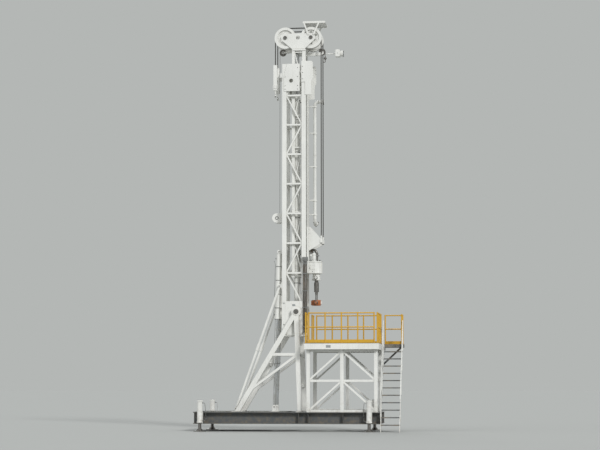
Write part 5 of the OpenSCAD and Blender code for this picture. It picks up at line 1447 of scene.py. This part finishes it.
class RIG_OT_fittings(bpy.types.Operator):
    """Adds the standpipe's unions, the rope anchors' nuts, the handrails' bolts and blank data plates"""

    bl_idname = "rig.fittings"
    bl_label = "Small fittings"

    def execute(self, context):
        metal, machined, welds, plates, inner, sockets = (Shape() for _ in range(6))
        self.standpipe(machined, welds)
        self.anchors(metal)
        self.handrails(metal)
        self.stair(metal)
        self.sockets(sockets)
        self.data_plates(plates, metal)
        self.hook(inner)
        for shape, name, maker, body, slot in (
                (sockets, "rope_sockets", machined_steel, "carriage", "bare_steel"),
                (metal, "small_bolts_and_nuts", zinc_steel, "root", "bare_steel"),
                (machined, "standpipe_unions", machined_steel, "root", "bare_steel"),
                (welds, "standpipe_welds", weld_metal, "root", "white_paint"),
                (plates, "data_plates", reflector, "root", "bright_steel"),
                (inner, "hook_fittings", zinc_steel, "inner_mast", "bare_steel")):
            shape.piece(name, maker, body, slot)
        return {"FINISHED"}

    def standpipe(self, shape, welds):
        """Hammer unions at the standpipe's two ends, and beads where its bends meet the pipe."""
        low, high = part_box("standpipe")
        x, y, pipe_r, bend, half, end = 0.460, 0.620, 0.057, 0.130, 0.081, 0.050
        for at, out in (((high.x - end, y, high.z - half), AHEAD), ((x, high.y - end, low.z + half), FAR)):
            place = facing(at, out)
            for a in angles(3, 0.5):
                shape.put(block((0.074, -0.017, 0.004), (0.112, 0.017, 0.040), 0.003),
                          place @ Matrix.Rotation(a, 4, "Z"))
            shape.put(collar(0.080, 0.086, 0, 0.044, 36), place)
        top, foot, joint = high.z - half - bend, low.z + half + bend, 9.700
        for at, out in (((x, y, foot), UP), ((x, y, top), UP), ((x + bend, y, top + bend), AHEAD),
                        ((x, y + bend, foot - bend), FAR), ((x, y, joint), UP)):
            out = Vector(out)
            across = out.orthogonal().normalized()
            ring = arc(at, across, out.cross(across), pipe_r, 2 * math.pi, 36)[:-1]
            welds.put(tube(ring, 0.005, 6, closed=True, ripple=0.2))

    def anchors(self, shape):
        """Lock nuts and thread on the anchors' adjusting screws, and the clamps' bolts."""
        low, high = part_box("rope_anchors")
        x, foot, threads, thread_pitch = REAR_X - ROPE_LINE, high.z - 0.900, 16, 0.0085
        for y in ROPE_YS:
            for i in range(threads):
                shape.put(collar(0.0175, 0.0195, 0, 0.005, 14), (x, y, low.z + 0.004 + i * thread_pitch))
            shape.put(hexagon(0.046, 0.022), (x, y, low.z + 0.036))
        for s, e in product(SIDES, SIDES):
            bolt_grid(shape, bolt(0.018), (x - 0.045, x + 0.045), (s * SHEAVE_Y + e * 0.080,),
                      (foot + 0.090, foot + 0.150), (0, e, 0))

    def handrails(self, shape):
        """Four bolts through the foot of each handrail post."""
        z, head, inset = FLOOR_HIGH.z + 0.012, bolt(0.016), 0.036
        for a, b, posts in RAIL_RUNS:
            for i, dx, dy in product(range(posts), (-inset, inset), (-inset, inset)):
                x, y = (p + (q - p) * i / (posts - 1) for p, q in zip(a, b))
                shape.put(head, facing((x + dx, y + dy, z), UP, RNG.uniform(0, 1)))

    def stair(self, shape):
        """Two bolts at each end of each tread, through the stringers."""
        stringer_t, down, apart = 0.016, 0.018, 0.055
        for low, high in treads():
            y = (low.y + high.y) / 2
            for x, out in ((low.x - stringer_t, BACK), (high.x + stringer_t, AHEAD)):
                bolt_grid(shape, bolt(0.018, False), (x,), (y - apart, y + apart), (high.z - down,), out)

    def sockets(self, shape):
        """Swaged ends and lock nuts where the hoist ropes meet the carriage's arms."""
        foot, nut_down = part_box("front_hoist_ropes")[0].z, 0.262
        for y in ROPE_YS:
            shape.put(turned([(0.021, -0.008), (0.021, 0.020), (0.0165, 0.060), (0.0145, 0.064)], 20),
                      (FRONT_X + ROPE_LINE, y, foot))
            shape.put(hexagon(0.046, 0.020), (FRONT_X + ROPE_LINE, y, foot - nut_down))

    def data_plates(self, plates, metal):
        """Blank plates with four rivets each, on the mast's foot, the floor's edge and the winch."""
        gusset, rivet_in, rivet = MAST_FACE + GUSSET_T, 0.007, [(0.003, 0), (0.003, 0.003), (0.0015, 0.004)]
        for at, out, wide, tall in (((-0.150, -gusset, 4.330), NEAR, 0.110, 0.070),
                                    ((-0.150, gusset, 4.330), FAR, 0.110, 0.070),
                                    ((1.120, -FLOOR_HIGH.y, 2.888), NEAR, 0.160, 0.090),
                                    ((-0.815, WINCH_HIGH.y - 0.020, DRUM_Z), FAR, 0.050, 0.030)):
            place, x, y = facing(at, out), wide / 2, tall / 2
            plates.put(block((-x, -y, -0.0005), (x, y, 0.0015), 0.0005), place)
            for dx, dy in product(SIDES, SIDES):
                metal.put(turned(rivet, 10), on(place, dx * (x - rivet_in), dy * (y - rivet_in), MM))

    def hook(self, shape):
        """The tugger hook's safety latch and the swaged sleeve on its line."""
        low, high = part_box("tugger_hook")
        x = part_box("crown_ropes")[1].x - LINE_R
        shape.put(turned([(0.014, -0.010), (0.014, 0.050), (0.009, 0.056)], 18), (x, 0, high.z))
        shape.put(bolt(0.014, False), facing((x, -0.013, low.z + 0.075), NEAR))
        rod(shape, (x - 0.004, 0, low.z + 0.078), (x - 0.062, 0, low.z + 0.040), 0.004)


class RIG_PT_panel(bpy.types.Panel):
    """The rig's sizes and colours, with a button for each step"""

    bl_idname = "RIG_PT_panel"
    bl_label = "Drilling rig"
    bl_space_type = "VIEW_3D"
    bl_region_type = "UI"
    bl_category = "Rig"

    def draw(self, context):
        for group in (context.scene.rig_sizes, context.scene.rig_finish):
            for name in group.__annotations__:
                self.layout.prop(group, name)
        for step in STEPS:
            self.layout.operator(step.bl_idname)


STEPS = (RIG_OT_stage, RIG_OT_paint, RIG_OT_ropes, RIG_OT_welds, RIG_OT_chequer, RIG_OT_bolts,
         RIG_OT_cylinders, RIG_OT_hoses, RIG_OT_top_drive, RIG_OT_lamp, RIG_OT_winch, RIG_OT_fittings)
CLASSES = (RigSizes, RigFinish, RIG_PT_panel, *STEPS)


def register():
    for cls in CLASSES:
        bpy.utils.register_class(cls)
    bpy.types.Scene.rig_sizes = PointerProperty(type=RigSizes)
    bpy.types.Scene.rig_finish = PointerProperty(type=RigFinish)


def unregister():
    del bpy.types.Scene.rig_finish
    del bpy.types.Scene.rig_sizes
    for cls in reversed(CLASSES):
        bpy.utils.unregister_class(cls)


def main():
    register()
    for step in STEPS:
        group, name = step.bl_idname.split(".")
        getattr(getattr(bpy.ops, group), name)()


if __name__ == "__main__":
    main()
